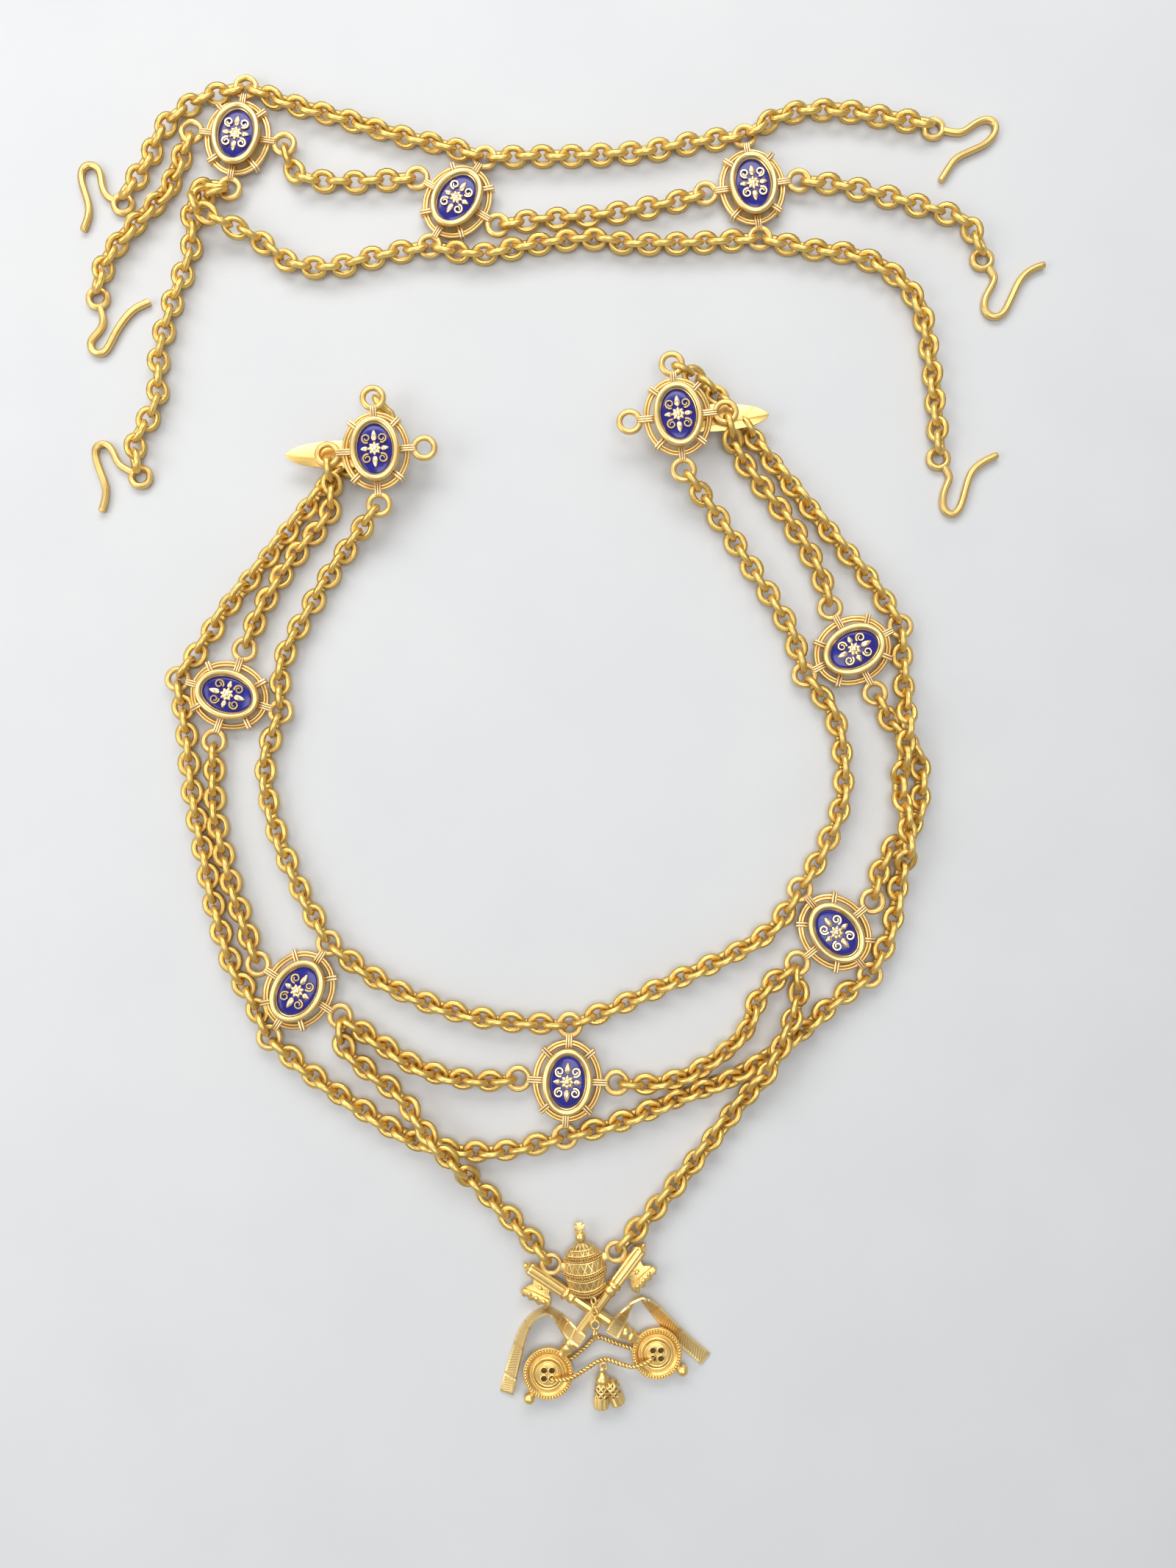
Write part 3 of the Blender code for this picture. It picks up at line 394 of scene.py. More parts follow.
def link_matrices(points, rolled):
    """Places of the links of one run along a smooth line from ring to ring."""
    line = smooth_line(points, 0.5 * MM)
    reach = [0.0]
    for here, there in zip(line, line[1:]):
        reach.append(reach[-1] + (there - here).length)
    hold = (RING_OUTER - RING_WIRE) / 2 - (RING_WIRE + LINK_WIRE) / 2 + (LINK_LENGTH - LINK_WIRE) / 2
    count = max(2, round((reach[-1] - 2 * hold) / LINK_PITCH) + 1)
    if count > 9:
        count = 2 * round((reach[-1] - 2 * hold) / LINK_PITCH / 2) + 1
    pitch = (reach[-1] - 2 * hold) / (count - 1)
    twist = 0 if count % 2 else -66
    drift = chance.uniform(-14, 14)
    matrices = []
    for number in range(count):
        goal = hold + pitch * number
        index = next(i for i in range(1, len(reach)) if reach[i] >= goal or i == len(reach) - 1)
        along = (line[index] - line[index - 1])
        centre = line[index - 1].lerp(line[index], (goal - reach[index - 1]) / along.length)
        along.normalize()
        share = number / (count - 1)
        swell = math.sin(math.pi * share)
        roll = 79 + 90 * number + twist * share + (drift * (0.4 if rolled else 1) - rolled) * swell
        roll = math.radians(roll + chance.uniform(-7, 7) * min(1.0, 3 * swell))
        stand = (LINK_WIDTH - LINK_WIRE) / 2 * abs(math.sin(roll)) + LINK_WIRE / 2
        centre.z += max(stand, 3.3 * MM)
        toward = camera.location - centre
        up = (toward - along * toward.dot(along)).normalized()
        side = up.cross(along)
        normal = up * math.cos(roll) + side * math.sin(roll)
        turn = Matrix((along, normal.cross(along), normal)).transposed().to_4x4()
        sway = Matrix.Rotation(math.radians(chance.uniform(-4, 4)), 4, "Z")
        matrix = Matrix.Translation(centre) @ turn @ sway
        lowest = min((matrix @ vertex.co).z for vertex in link.data.vertices)
        matrices.append(Matrix.Translation((0, 0, max(0.0, -lowest))) @ matrix)
    return matrices


for name, row in ROWS.items():
    rings = [index for index, item in enumerate(row) if isinstance(item, str)]
    copies = []
    for first, last in zip(rings, rings[1:]):
        points = [ring_place(row[first])]
        for place in row[first + 1:last]:
            points.append(spot(place, 3.3 * MM, SHIFT))
            points[-1].z = OVER if len(place) > 2 else 0.0
        points.append(ring_place(row[last]))
        for matrix in link_matrices(points, ROLLED.get((row[first], row[last]), 0)):
            copies.append(copy_of(link, matrix))
    stand_for(join(name + "_links", copies), "gilt", name)
bpy.data.objects.remove(link)


# The medallions' metal. An oval cup with a broad rolled rim stands in an oval frame of two brass wires.
# Four short wrapped ties and four longer straps hold them together, and each strap ends on a ring.
SETTING = (9.05, 11.95)
FRAME = (11.4, 13.6)


def stack_ovals(name, rows, sides, crease=50):
    """Body from oval rows of half width, half depth and height in millimetres, closed at both ends."""
    bpy.ops.mesh.primitive_circle_add(vertices=sides, radius=MM, fill_type="NGON")
    item = bpy.context.object
    item.name = name
    bpy.ops.object.mode_set(mode="EDIT")
    bpy.ops.mesh.select_all(action="SELECT")
    bpy.ops.transform.translate(value=(0, 0, rows[0][2] * MM))
    bpy.ops.transform.resize(value=(rows[0][0], rows[0][1], 1), center_override=(0, 0, 0))
    for before, row in zip(rows, rows[1:]):
        bpy.ops.mesh.extrude_region_move(
            TRANSFORM_OT_translate={"value": (0, 0, (row[2] - before[2]) * MM)})
        bpy.ops.transform.resize(value=(row[0] / before[0], row[1] / before[1], 1),
                                 center_override=(0, 0, 0))
    bpy.ops.mesh.select_all(action="SELECT")
    bpy.ops.mesh.normals_make_consistent(inside=False)
    bpy.ops.object.mode_set(mode="OBJECT")
    bpy.ops.object.shade_smooth_by_angle(angle=math.radians(crease))
    return item


def oval_wire(semi_x, semi_y, height, wire, sides=64, wire_sides=8):
    """Oval ring of round wire in millimetres, its middle line an oval of these half widths."""
    bpy.ops.mesh.primitive_torus_add(major_segments=sides, minor_segments=wire_sides,
                                     major_radius=1.0, minor_radius=wire / 2 * MM)
    item = bpy.context.object
    for vertex in item.data.vertices:
        angle = math.atan2(vertex.co.y, vertex.co.x)
        out = Vector((math.cos(angle) / semi_x, math.sin(angle) / semi_y, 0)).normalized()
        rise = vertex.co.z + height * MM
        middle = Vector((semi_x * math.cos(angle), semi_y * math.sin(angle), 0)) * MM
        vertex.co = middle + out * (vertex.co.xy.length - 1.0)
        vertex.co.z = rise
    bpy.ops.object.shade_smooth()
    return item


def smooth_bar(size, place, turn):
    """Bar with rounded edges, in millimetres, turned flat by an angle in radians."""
    bpy.ops.mesh.primitive_cube_add(size=MM)
    item = bpy.context.object
    item.scale = size
    bpy.ops.object.transform_apply(location=False, rotation=False, scale=True)
    bpy.ops.object.mode_set(mode="EDIT")
    bpy.ops.mesh.select_all(action="SELECT")
    bpy.ops.mesh.bevel(offset=min(size) * 0.46 * MM, segments=3, affect="EDGES")
    bpy.ops.object.mode_set(mode="OBJECT")
    bpy.ops.object.shade_smooth_by_angle(angle=math.radians(60))
    item.data.transform(Matrix.Translation(Vector(place) * MM) @ Matrix.Rotation(turn, 4, "Z"))
    return item


def worn_metal(name, pale, deep, roughness, spots=0.0035, depth=0.000012):
    """Cast or drawn brass with soft clouds in its tone and a fine uneven skin."""
    material, shader, start = new_finish(name, Metallic=1.0)
    cloud = grain(start, spots, 4.0)
    skin = grain(start, 0.0006, 3.0)
    connect(shader, Base_Color=(cloud * 1.3 - 0.15).blend(deep, pale),
            Roughness=grain(start, 0.0022) * 0.08 + (roughness - 0.04), Normal=bump(skin, depth))
    return material


frame_brass = worn_metal("frame_brass", (0.92, 0.68, 0.30, 1), (0.76, 0.50, 0.18, 1), 0.34,
                         0.0035, 0.000003)
rim_brass = worn_metal("rim_brass", (0.94, 0.72, 0.32, 1), (0.84, 0.58, 0.21, 1), 0.33,
                       0.0035, 0.000002)
tie_brass = worn_metal("tie_brass", (0.94, 0.74, 0.42, 1), (0.72, 0.48, 0.22, 1), 0.34,
                       0.0020, 0.000003)
# The third colour is painted shade for the grooves between the ring wire's ridges.
ring_gilt = ridged_gilt("ring_gilt", (0.96, 0.72, 0.30, 1), (0.86, 0.58, 0.19, 1),
                        (0.52, 0.30, 0.08, 1), 13, 0.35)

cup_rows = [(3.0, 0.9), (2.3, 0.9), (1.9, 0.0), (0.85, 0.0), (0.81, 5.3), (0.45, 5.75), (0.12, 6.2),
            (0.0, 6.7), (0.1, 7.15), (0.42, 7.5), (0.95, 7.7), (1.5, 7.64), (1.95, 7.4), (2.2, 7.05),
            (2.28, 6.7), (2.32, 6.62), (2.55, 6.55), (2.7, 6.35), (2.72, 4.9)]


def inset_rows(rows):
    """Oval rows from how far each lies inside the setting's edge, and its height."""
    return [(SETTING[0] - inset, SETTING[1] - inset, height) for inset, height in rows]


cup = stack_ovals("cup", inset_rows(cup_rows), 64)
cup.data.materials.append(rim_brass)
pieces = [cup]
for step in (-0.56, 0.56):
    wire = oval_wire(FRAME[0] + step, FRAME[1] + step, 3.4, 1.2)
    wire.data.materials.append(frame_brass)
    pieces.append(wire)
for x, y in RING_REACH.values():
    bpy.ops.mesh.primitive_torus_add(
        location=(x * MM, y * MM, FRAME_LEVEL), major_segments=28, minor_segments=10,
        major_radius=(RING_OUTER - RING_WIRE) / 2, minor_radius=RING_WIRE / 2)
    bpy.ops.object.shade_smooth()
    bpy.context.object.data.materials.append(ring_gilt)
    pieces.append(bpy.context.object)
    turn = math.atan2(y, x)
    reach = math.hypot(x, y)
    inner = (SETTING[0] if x else SETTING[1]) - 0.5
    outer = reach - 3.1
    for lane in (-0.86, 0.0, 0.86):
        out = Vector((math.cos(turn), math.sin(turn), 0))
        place = out * (inner + outer) / 2 + Vector((-out.y, out.x, 0)) * lane + Vector((0, 0, 3.5))
        bar = smooth_bar((outer - inner, 0.78, 3.0), place, turn)
        bar.data.materials.append(tie_brass)
        pieces.append(bar)
for quarter in (47, 133, 227, 313):
    angle = math.radians(quarter)
    on_frame = Vector((FRAME[0] * math.cos(angle), FRAME[1] * math.sin(angle), 3.4))
    out = Vector((math.cos(angle) / FRAME[0], math.sin(angle) / FRAME[1], 0)).normalized()
    turn = math.atan2(out.y, out.x)
    for lane in (-0.52, 0.52):
        place = on_frame - out * 0.3 + Vector((-out.y, out.x, 0)) * lane + Vector((0, 0, 0.15))
        bar = smooth_bar((4.9, 0.92, 3.3), place, turn)
        bar.data.materials.append(tie_brass)
        pieces.append(bar)
medallion = join("medallion", pieces)

# The tongue soldered behind each end medallion is a flat leaf of brushed brass, scratched along it.
tongue_brass, shader, start = new_finish("tongue_brass", Metallic=1.0)
scratch = grain(start, 0.0011, 4.0, (0.05, 1, 1))
marks = grain(start, 0.006, 4.0)
dark = start.node("ShaderNodeMapRange", {}, {0: marks, 1: 0.60, 2: 0.72})
tone = scratch.blend((0.84, 0.52, 0.14, 1), (0.98, 0.68, 0.24, 1))
connect(shader, Base_Color=(dark * 0.55).blend(tone, (0.20, 0.11, 0.04, 1)),
        Roughness=scratch * 0.25 + dark * 0.2 + 0.20, Normal=bump(scratch, 0.00002))


def solid_of(curve, crease, height=0.0, merge=0.005):
    """Closed piece from a curve, with its doubles merged and its faces turned outwards."""
    item = bpy.data.objects.new(curve.name, curve)
    bpy.context.scene.collection.objects.link(item)
    item.location.z = height * MM
    bpy.ops.object.select_all(action="DESELECT")
    bpy.context.view_layer.objects.active = item
    item.select_set(True)
    bpy.ops.object.convert(target="MESH")
    bpy.ops.object.transform_apply(location=True, rotation=True, scale=True)
    item = bpy.context.object
    bpy.ops.object.mode_set(mode="EDIT")
    bpy.ops.mesh.select_all(action="SELECT")
    bpy.ops.mesh.remove_doubles(threshold=merge * MM)
    bpy.ops.mesh.normals_make_consistent(inside=False)
    bpy.ops.object.mode_set(mode="OBJECT")
    bpy.ops.object.shade_smooth_by_angle(angle=math.radians(crease))
    bpy.ops.object.select_all(action="DESELECT")
    return item


def plate_curve(name, outline, half_thickness, edge):
    """Closed flat curve of a plate with a softened edge, from an outline in millimetres."""
    curve = bpy.data.curves.new(name, "CURVE")
    curve.dimensions = "2D"
    curve.fill_mode = "BOTH"
    curve.extrude = (half_thickness - edge) * MM
    curve.bevel_depth = edge * MM
    curve.bevel_resolution = 1
    line = curve.splines.new("POLY")
    line.points.add(len(outline) - 1)
    for target, (x, y) in zip(line.points, outline):
        target.co = (x * MM, y * MM, 0, 1)
    line.use_cyclic_u = True
    return curve


def tongue(side):
    """Leaf from behind the cup out to its rounded tip, with a softened edge."""
    leaf = [Vector(place) for place in ((4.1, 4.4), (9, 4.8), (13.6, 4.95), (17.4, 4.9), (21.1, 4.6),
                                        (24.4, 4.15), (27.2, 3.6), (29.4, 2.95), (31.3, 2.1), (33.1, 0.9),
                                        (33.9, 0.0))]
    outline = [tuple(place) for place in smooth_line(leaf, 1.0)]
    edge = outline + [(x, -y) for x, y in reversed(outline[:-1])]
    item = solid_of(plate_curve("tongue", [(side * x * 0.995, y) for x, y in edge], 0.4, 0.15), 40, 0.4)
    item.data.materials.append(tongue_brass)
    return item


for name, (centre, turn, side) in MEDALLIONS.items():
    parts = [copy_of(medallion, medallion_matrix(name))]
    if side:
        leaf = tongue(side)
        straighten = Matrix.Rotation(math.radians(-3), 4, "Z")
        leaf.matrix_world = medallion_matrix(name) @ straighten @ leaf.matrix_world
        parts.append(leaf)
    whole = join("metal_" + name, parts)
    stand_for(whole, "antique_gilt", "medallion_" + name)
bpy.data.objects.remove(medallion)


# The enamel plates. Vitreous enamel of a deep royal blue is fired into each cup and ground to a low
# dome, glossy and slightly uneven, its blue deeper or paler in soft clouds.
blue_enamel, shader, start = new_finish("blue_glass", IOR=1.4, Coat_Weight=0.25, Coat_Roughness=0.04)
depth = grain(start, 0.004, 2.0)
fine = grain(start, 0.0006, 2.0)
deep_blue, pale_blue = (0.007, 0.006, 0.085, 1), (0.022, 0.020, 0.34, 1)
connect(shader, Base_Color=(depth * 0.8 + fine * 0.2).blend(deep_blue, pale_blue),
        Roughness=fine * 0.10 + 0.16, Normal=bump(depth, 0.0001))
dome_rows = [(2.76, 5.2), (2.76, 5.72), (3.1, 5.95), (4.0, 6.14), (5.6, 6.31), (7.4, 6.38), (8.4, 6.4)]
plate = stack_ovals("plate", inset_rows(dome_rows), 48)
plate.data.materials.append(blue_enamel)


def set_in_cups(item, name, slot, node):
    """A copy of a piece in each medallion, in place of its plain solid."""
    for place in MEDALLIONS:
        copy = copy_of(item, medallion_matrix(place))
        copy.name = name + place
        copy.data.name = copy.name
        stand_for(copy, slot, node + place)
    bpy.data.objects.remove(item)


set_in_cups(plate, "glass_", "blue_enamel", "enamel_")


# The ornament on each plate is a small gilt casting: a rosette between two leaf sprays, with four
# scrolls and two side buds, set on the enamel with pins.
ornament_gilt = worn_metal("ornament_gilt", (1.0, 0.80, 0.48, 1), (0.90, 0.62, 0.28, 1), 0.28,
                           0.0012, 0.000006)


def petal(length, width, rise, place, turn):
    """Low pointed leaf along its own x axis, in millimetres."""
    bpy.ops.mesh.primitive_uv_sphere_add(segments=10, ring_count=6, radius=MM)
    item = bpy.context.object
    for vertex in item.data.vertices:
        along = vertex.co.x / MM
        vertex.co.y *= width / 2 * (1 - 0.45 * along)
        vertex.co.z *= rise * (1 - 0.3 * abs(along))
        vertex.co.x *= length / 2
    bpy.ops.object.shade_smooth()
    shift = Matrix.Translation(Vector(place) * MM) @ Matrix.Rotation(math.radians(turn), 4, "Z")
    item.data.transform(shift @ Matrix.Translation((length / 2 * MM, 0, 0)))
    return item


def wire_piece(points, radii, resolution=2, closed=False):
    """Round wire along points, with its own radius at each."""
    curve = bpy.data.curves.new("wire", "CURVE")
    curve.dimensions = "3D"
    curve.bevel_depth = 1.0
    curve.bevel_resolution = resolution
    curve.use_fill_caps = True
    line = curve.splines.new("POLY")
    line.points.add(len(points) - 1)
    for target, point, radius in zip(line.points, points, radii):
        target.co = (*point, 1.0)
        target.radius = radius
    line.use_cyclic_u = closed
    return solid_of(curve, 60, merge=0.002)


rise = 6.55
pieces = [petal(2.3, 1.5, 0.5, (0.4 * math.cos(math.radians(a)), 0.4 * math.sin(math.radians(a)), rise), a)
          for a in range(0, 360, 45)]
pieces.append(stack_ovals("boss", [(1.05, 1.05, rise), (1.0, 1.0, rise + 0.5), (0.6, 0.6, rise + 0.75),
                                   (0.15, 0.15, rise + 0.82)], 14))
for up in (1, -1):
    pieces.append(petal(4.4, 2.1, 0.5, (0, 2.6 * up, rise), 90 * up))
    pieces.append(petal(2.9, 1.9, 0.48, (2.3 * up, 0, rise), 90 - 90 * up))
    for side in (1, -1):
        spiral = []
        for number in range(24):
            share = number / 23
            angle = math.radians(-110 + 480 * share)
            radius = 1.75 * (1 - 0.68 * share)
            spiral.append(Vector((side * (2.85 + radius * math.cos(angle)),
                                  up * (3.75 + radius * math.sin(angle)), rise + 0.12)) * MM)
        pieces.append(wire_piece(spiral, [(0.50 - 0.18 * n / 23) * MM for n in range(24)], 1))
ornament = join("ornament", pieces)
ornament.data.materials.clear()
ornament.data.materials.append(ornament_gilt)
set_in_cups(ornament, "casting_", "gilt", "ornament_")


# The hooks. Each is a gilt brass wire with fine ridges along it, bent to an open hook and soldered to
# an eye, in which the last link of its row hangs.
HOOK_LEVEL = 1.4 * MM
HOOK_WIRES = {
    "hook_top_left": [(146, 268), (140, 258), (138, 248), (136, 234), (130, 226), (122, 223.5), (114, 227),
                      (110, 237), (111, 248), (116, 264), (120.5, 280), (120.5, 293),
                      (117, 304), (113, 314)],
    "hook_mid_left": [(141, 438), (137, 448), (126, 460), (122, 468), (126, 478), (134, 482), (142, 480),
                      (150, 467), (163, 443), (182, 421), (204, 410)],
    "hook_bottom_left": [(162, 632), (156, 620), (150, 608), (141, 603), (132, 606), (129, 616), (134, 635),
                         (144, 663), (143, 680), (138, 696)],
    "hook_top_right": [(1308, 181), (1318, 174), (1332, 165), (1344, 162), (1354, 167), (1355, 179),
                       (1342, 195), (1320, 206), (1300, 216), (1290, 230), (1280, 246)],
    "hook_mid_right": [(1354, 377), (1349, 390), (1341, 404), (1339, 420), (1346, 430), (1356, 432),
                       (1367, 424), (1375, 408), (1390, 378), (1404, 366), (1421, 360)],
    "hook_bottom_right": [(1293, 648), (1288, 660), (1283, 676), (1284, 692), (1292, 700), (1301, 699),
                          (1309, 684), (1315, 662), (1323, 641), (1338, 628), (1357, 619)],
}
for name, wire in HOOK_WIRES.items():
    eye = spot(HOOK_EYES[name], HOOK_LEVEL, SHIFT)
    places = [spot(place, HOOK_LEVEL, SHIFT) for place in wire]
    places.insert(0, eye + (places[0] - eye).normalized() * 3.6 * MM)
    line = smooth_line(places, 0.8 * MM)
    for again in range(7):
        line[1:-1] = [(a + b * 2 + c) / 4 for a, b, c in zip(line, line[1:], line[2:])]
    radii = [1.36 * MM] * len(line)
    radii[-1] = 1.2 * MM
    shank = wire_piece(line, radii, 3)
    shank.data.materials.append(ring_gilt)
    bpy.ops.mesh.primitive_torus_add(location=eye, major_segments=28, minor_segments=10,
                                     major_radius=3.4 * MM, minor_radius=1.3 * MM)
    bpy.ops.object.shade_smooth()
    bpy.context.object.data.materials.append(ring_gilt)
    stand_for(join(name + "_wire", [shank, bpy.context.object]), "gilt", name)


# The badge. It is cast and chased gilt brass: a three-tier crown with a ball and a cross stands behind
# two crossed keys with round bows, and two engraved ribbons curl out from the crossing.
badge_place = Matrix.Translation(spot(BADGE_PLACE, 0, SHIFT))
badge_gilt = worn_metal("badge_gilt", (0.98, 0.73, 0.30, 1), (0.84, 0.56, 0.17, 1), 0.35, 0.002, 0.000005)
# The bow's hollow dish gets a darker copy of the badge gilt: painted shade in the hollow.
dish_shade_gilt = worn_metal("dish_shade_gilt", (0.94, 0.64, 0.22, 1), (0.78, 0.48, 0.13, 1), 0.38, 0.002, 0.00002)
# The clouds are chasing texture; the deep tone, darker than the other gilt, is a painted dark reflection on
# the flat bit.
bit_gilt_dark_reflection = worn_metal("bit_gilt_dark_reflection", (0.98, 0.71, 0.28, 1), (0.62, 0.37, 0.10, 1), 0.36, 0.0011, 0.00008)


def raise_pattern(start, shader, height, share, groove_shade, depth):
    """Gilt in its own tone on top of a pattern, with painted shade in the pattern's grooves."""
    tone = grain(start, 0.002).blend((0.88, 0.58, 0.19, 1), (1.0, 0.76, 0.34, 1))
    # share mixes in the groove colour where the pattern is low: painted shade in its grooves.
    connect(shader, Base_Color=share.blend(groove_shade, tone), Roughness=grain(start, 0.001) * 0.08 + 0.31,
            Normal=bump(height, depth))


def chased_gilt(name, depth):
    """Gilt engraved with zigzags and fine hatching, laid out by the piece's own "chase" attribute."""
    material, shader, start = new_finish(name, Metallic=1.0)
    where = start.node("ShaderNodeAttribute", {"attribute_name": "chase"}, {}, "Vector")
    x = start.node("ShaderNodeSeparateXYZ", {}, {0: where}, "X")
    y = start.node("ShaderNodeSeparateXYZ", {}, {0: where}, "Y")
    zigzag = x.maths("PINGPONG", x, 0.5) * 2
    rise = y.maths("PINGPONG", y, 1.0)
    away = rise.maths("ABSOLUTE", rise - zigzag)
    ridge = start.node("ShaderNodeMapRange", {}, {0: away, 1: 0.30, 2: 0.12})
    hatch = (x * 6).wave() * (1 - ridge) * 0.55
    scroll = ridge.maths("MAXIMUM", ridge, hatch)
    # The engraved lines and hatching get painted shade from the groove colour.
    raise_pattern(start, shader, scroll, scroll * 0.8 + 0.2, (0.48, 0.27, 0.07, 1), depth)
    return material


def rope_gilt(name, turns, lanes):
    """Gilt cord edge: slanting strands that follow a wire, by its own UV map."""
    material, shader, start = new_finish(name, Metallic=1.0)
    where = start.node("ShaderNodeUVMap", {}, {})
    along = start.node("ShaderNodeSeparateXYZ", {}, {0: where}, "X")
    around = start.node("ShaderNodeSeparateXYZ", {}, {0: where}, "Y")
    strand = (along * turns + around * lanes).wave()
    # The hollows between the strands get painted shade from the groove colour.
    raise_pattern(start, shader, strand, (strand ** 0.6) * 0.9 + 0.1, (0.55, 0.32, 0.09, 1), 0.0003)
    return material


chased = chased_gilt("chased_gilt", 0.00022)
crown_rope = rope_gilt("crown_rope", 52, 1)


def fluted(rows, sides, depth):
    """Turned body with flutes along it: every other column of its points is drawn in."""
    item = stack_ovals("fluted", rows, sides)
    for vertex in item.data.vertices:
        column = round(math.atan2(vertex.co.y, vertex.co.x) / (2 * math.pi) * sides) % 2
        if column:
            vertex.co.x *= 1 - depth
            vertex.co.y *= 1 - depth
    bpy.ops.object.shade_smooth_by_angle(angle=math.radians(18))
    return item


STILL = Matrix.Identity(4)


def lay(item, matrix, finish):
    """Move a piece by a matrix and give it its finish."""
    item.data.transform(matrix)
    item.data.materials.clear()
    item.data.materials.append(finish)
    return item


ALONG_X = Matrix.Rotation(math.radians(90), 4, "Y")


def round_row(stations):
    return [(radius, radius, along) for along, radius in stations]


def flat_piece(outline, thickness, middle, edge):
    """Flat plate with a softened edge, its middle at a height, in millimetres."""
    return solid_of(plate_curve("flat", outline, thickness / 2, edge), 40, middle)


def ring_piece(radius, wire, height, finish, sides=40, wire_sides=10):
    item = oval_wire(radius, radius, height, wire, sides, wire_sides)
    item.data.materials.append(finish)
    return item


def key_pieces(mirror, turn):
    """One key along its own x axis in millimetres, its barrel's middle at height 0."""
    knob = [(0.0, 0.3), (0.2, 0.8), (0.8, 1.0), (1.2, 0.7), (1.5, 1.5), (2.0, 2.0), (2.5, 1.9)]
    barrel = [(2.5, 2.2), (3.0, 2.45), (16.6, 2.45), (17.2, 2.2)]
    collar = [(17.2, 2.3), (17.6, 2.7), (18.3, 2.75), (18.8, 2.2), (19.5, 2.0), (20.2, 2.3), (20.7, 2.6),
              (21.3, 2.3), (21.8, 2.0)]
    stem = [(21.8, 2.05), (41.6, 1.95), (41.9, 2.2), (42.6, 2.5), (44.0, 2.5), (44.6, 2.0), (45.2, 2.0),
            (45.7, 2.5), (46.6, 2.3), (47.0, 1.9), (48.6, 1.8)]
    made = [lay(stack_ovals("knob", round_row(knob), 16), ALONG_X, badge_gilt),
            lay(fluted(round_row(barrel), 24, 0.10), ALONG_X, badge_gilt),
            lay(stack_ovals("collar", round_row(collar), 20), ALONG_X, badge_gilt),
            lay(fluted(round_row(stem[:2]), 24, 0.05), ALONG_X, badge_gilt),
            lay(stack_ovals("stem", round_row(stem[1:]), 20), ALONG_X, badge_gilt)]
    bit = [(5.5, 1.0), (6.8, 4.0), (5.3, 6.2), (4.6, 8.6), (6.1, 9.2), (7.4, 8.3), (8.6, 9.1), (10.2, 8.1),
           (12.0, 8.8), (13.3, 7.4), (15.0, 8.5), (15.8, 6.4), (14.4, 4.75), (12.8, 3.2), (13.2, 1.0)]
    bit = [(x, mirror * y) for x, y in bit]
    made.append(lay(flat_piece(bit, 1.6, -0.3, 0.3), STILL, bit_gilt_dark_reflection))
    flange = [(4.9, 6.9), (5.0, 8.4), (6.1, 8.7), (7.4, 7.7), (8.6, 8.6), (10.2, 7.6), (12.0, 8.3),
              (13.3, 6.9),
              (14.8, 8.0), (15.3, 6.5), (14.2, 5.4), (9.4, 5.9)]
    flange = [(x, mirror * y) for x, y in flange]
    made.append(lay(flat_piece(flange, 1.5, 0.75, 0.4), STILL, bit_gilt_dark_reflection))
    for x, y in ((7.4, 7.0), (10.3, 6.9), (13.1, 6.5), (9.6, 3.6)):
        bud = petal(2.2, 1.25, 0.75, (x - 1.1, mirror * y, 1.5 if y > 4 else 0.5), 0)
        made.append(lay(bud, STILL, badge_gilt))
    bow = stack_ovals("bow", round_row([(-1.7, 8.3), (-1.4, 8.75), (0.2, 8.8), (0.45, 8.5), (0.45, 7.6),
                                        (0.0, 7.2), (-0.3, 6.6), (-0.3, 5.9), (0.0, 5.4), (0.0, 5.0)]),
                      48, 25)
    button = [(-0.2, 3.95), (0.8, 3.95), (1.05, 3.7), (1.1, 3.2), (1.1, 1.0)]
    button = stack_ovals("button", round_row(button), 32, 25)
    on_bow = Matrix.Translation((BOW_AT * MM, 0, 0))
    for angle in (45, 135, 225, 315):
        angle = math.radians(angle - turn)
        hole = Vector((math.cos(angle), math.sin(angle), 0)) * HOLE_REACH
        bpy.ops.mesh.primitive_cylinder_add(vertices=16, radius=0.98 * MM, depth=8 * MM,
                                            location=hole)
        drill = bpy.context.object
        for drilled in (bow, button):
            cut = drilled.modifiers.new("hole", "BOOLEAN")
            cut.operation = "DIFFERENCE"
            cut.object = drill
            bpy.context.view_layer.objects.active = drilled
            bpy.ops.object.modifier_apply(modifier="hole")
        bpy.data.objects.remove(drill)
        lobe = ring_piece(1.25, 0.62, 1.15, badge_gilt, 16, 6)
        made.append(lay(lobe, on_bow @ Matrix.Translation(hole), badge_gilt))
    made += [lay(bow, on_bow, dish_shade_gilt), lay(button, on_bow, badge_gilt)]
    for radius, wire, height in ((8.65, 0.5, 0.5), (7.45, 0.5, 0.55), (5.35, 1.0, 0.25), (4.2, 0.7, 0.6)):
        made.append(lay(ring_piece(radius, wire, height, badge_gilt, 56), on_bow, badge_gilt))
    for number in range(BOW_BEADS):
        about = Matrix.Rotation(2 * math.pi / BOW_BEADS * number, 4, "Z")
        slant = Matrix.Translation((8.05 * MM, 0, 0.6 * MM)) @ Matrix.Rotation(math.radians(38), 4, "Z")
        bead = petal(1.75, 0.86, 0.8, (-0.87, 0, 0), 0)
        made.append(lay(bead, on_bow @ about @ slant, badge_gilt))
    neck = [(8.4, 1.1), (9.0, 0.8), (9.5, 1.5), (10.2, 2.0), (10.9, 2.1), (11.6, 2.0), (12.3, 1.5),
            (12.8, 0.7)]
    made.append(lay(stack_ovals("end_ball", round_row(neck), 20),
                    on_bow @ ALONG_X, badge_gilt))
    return made


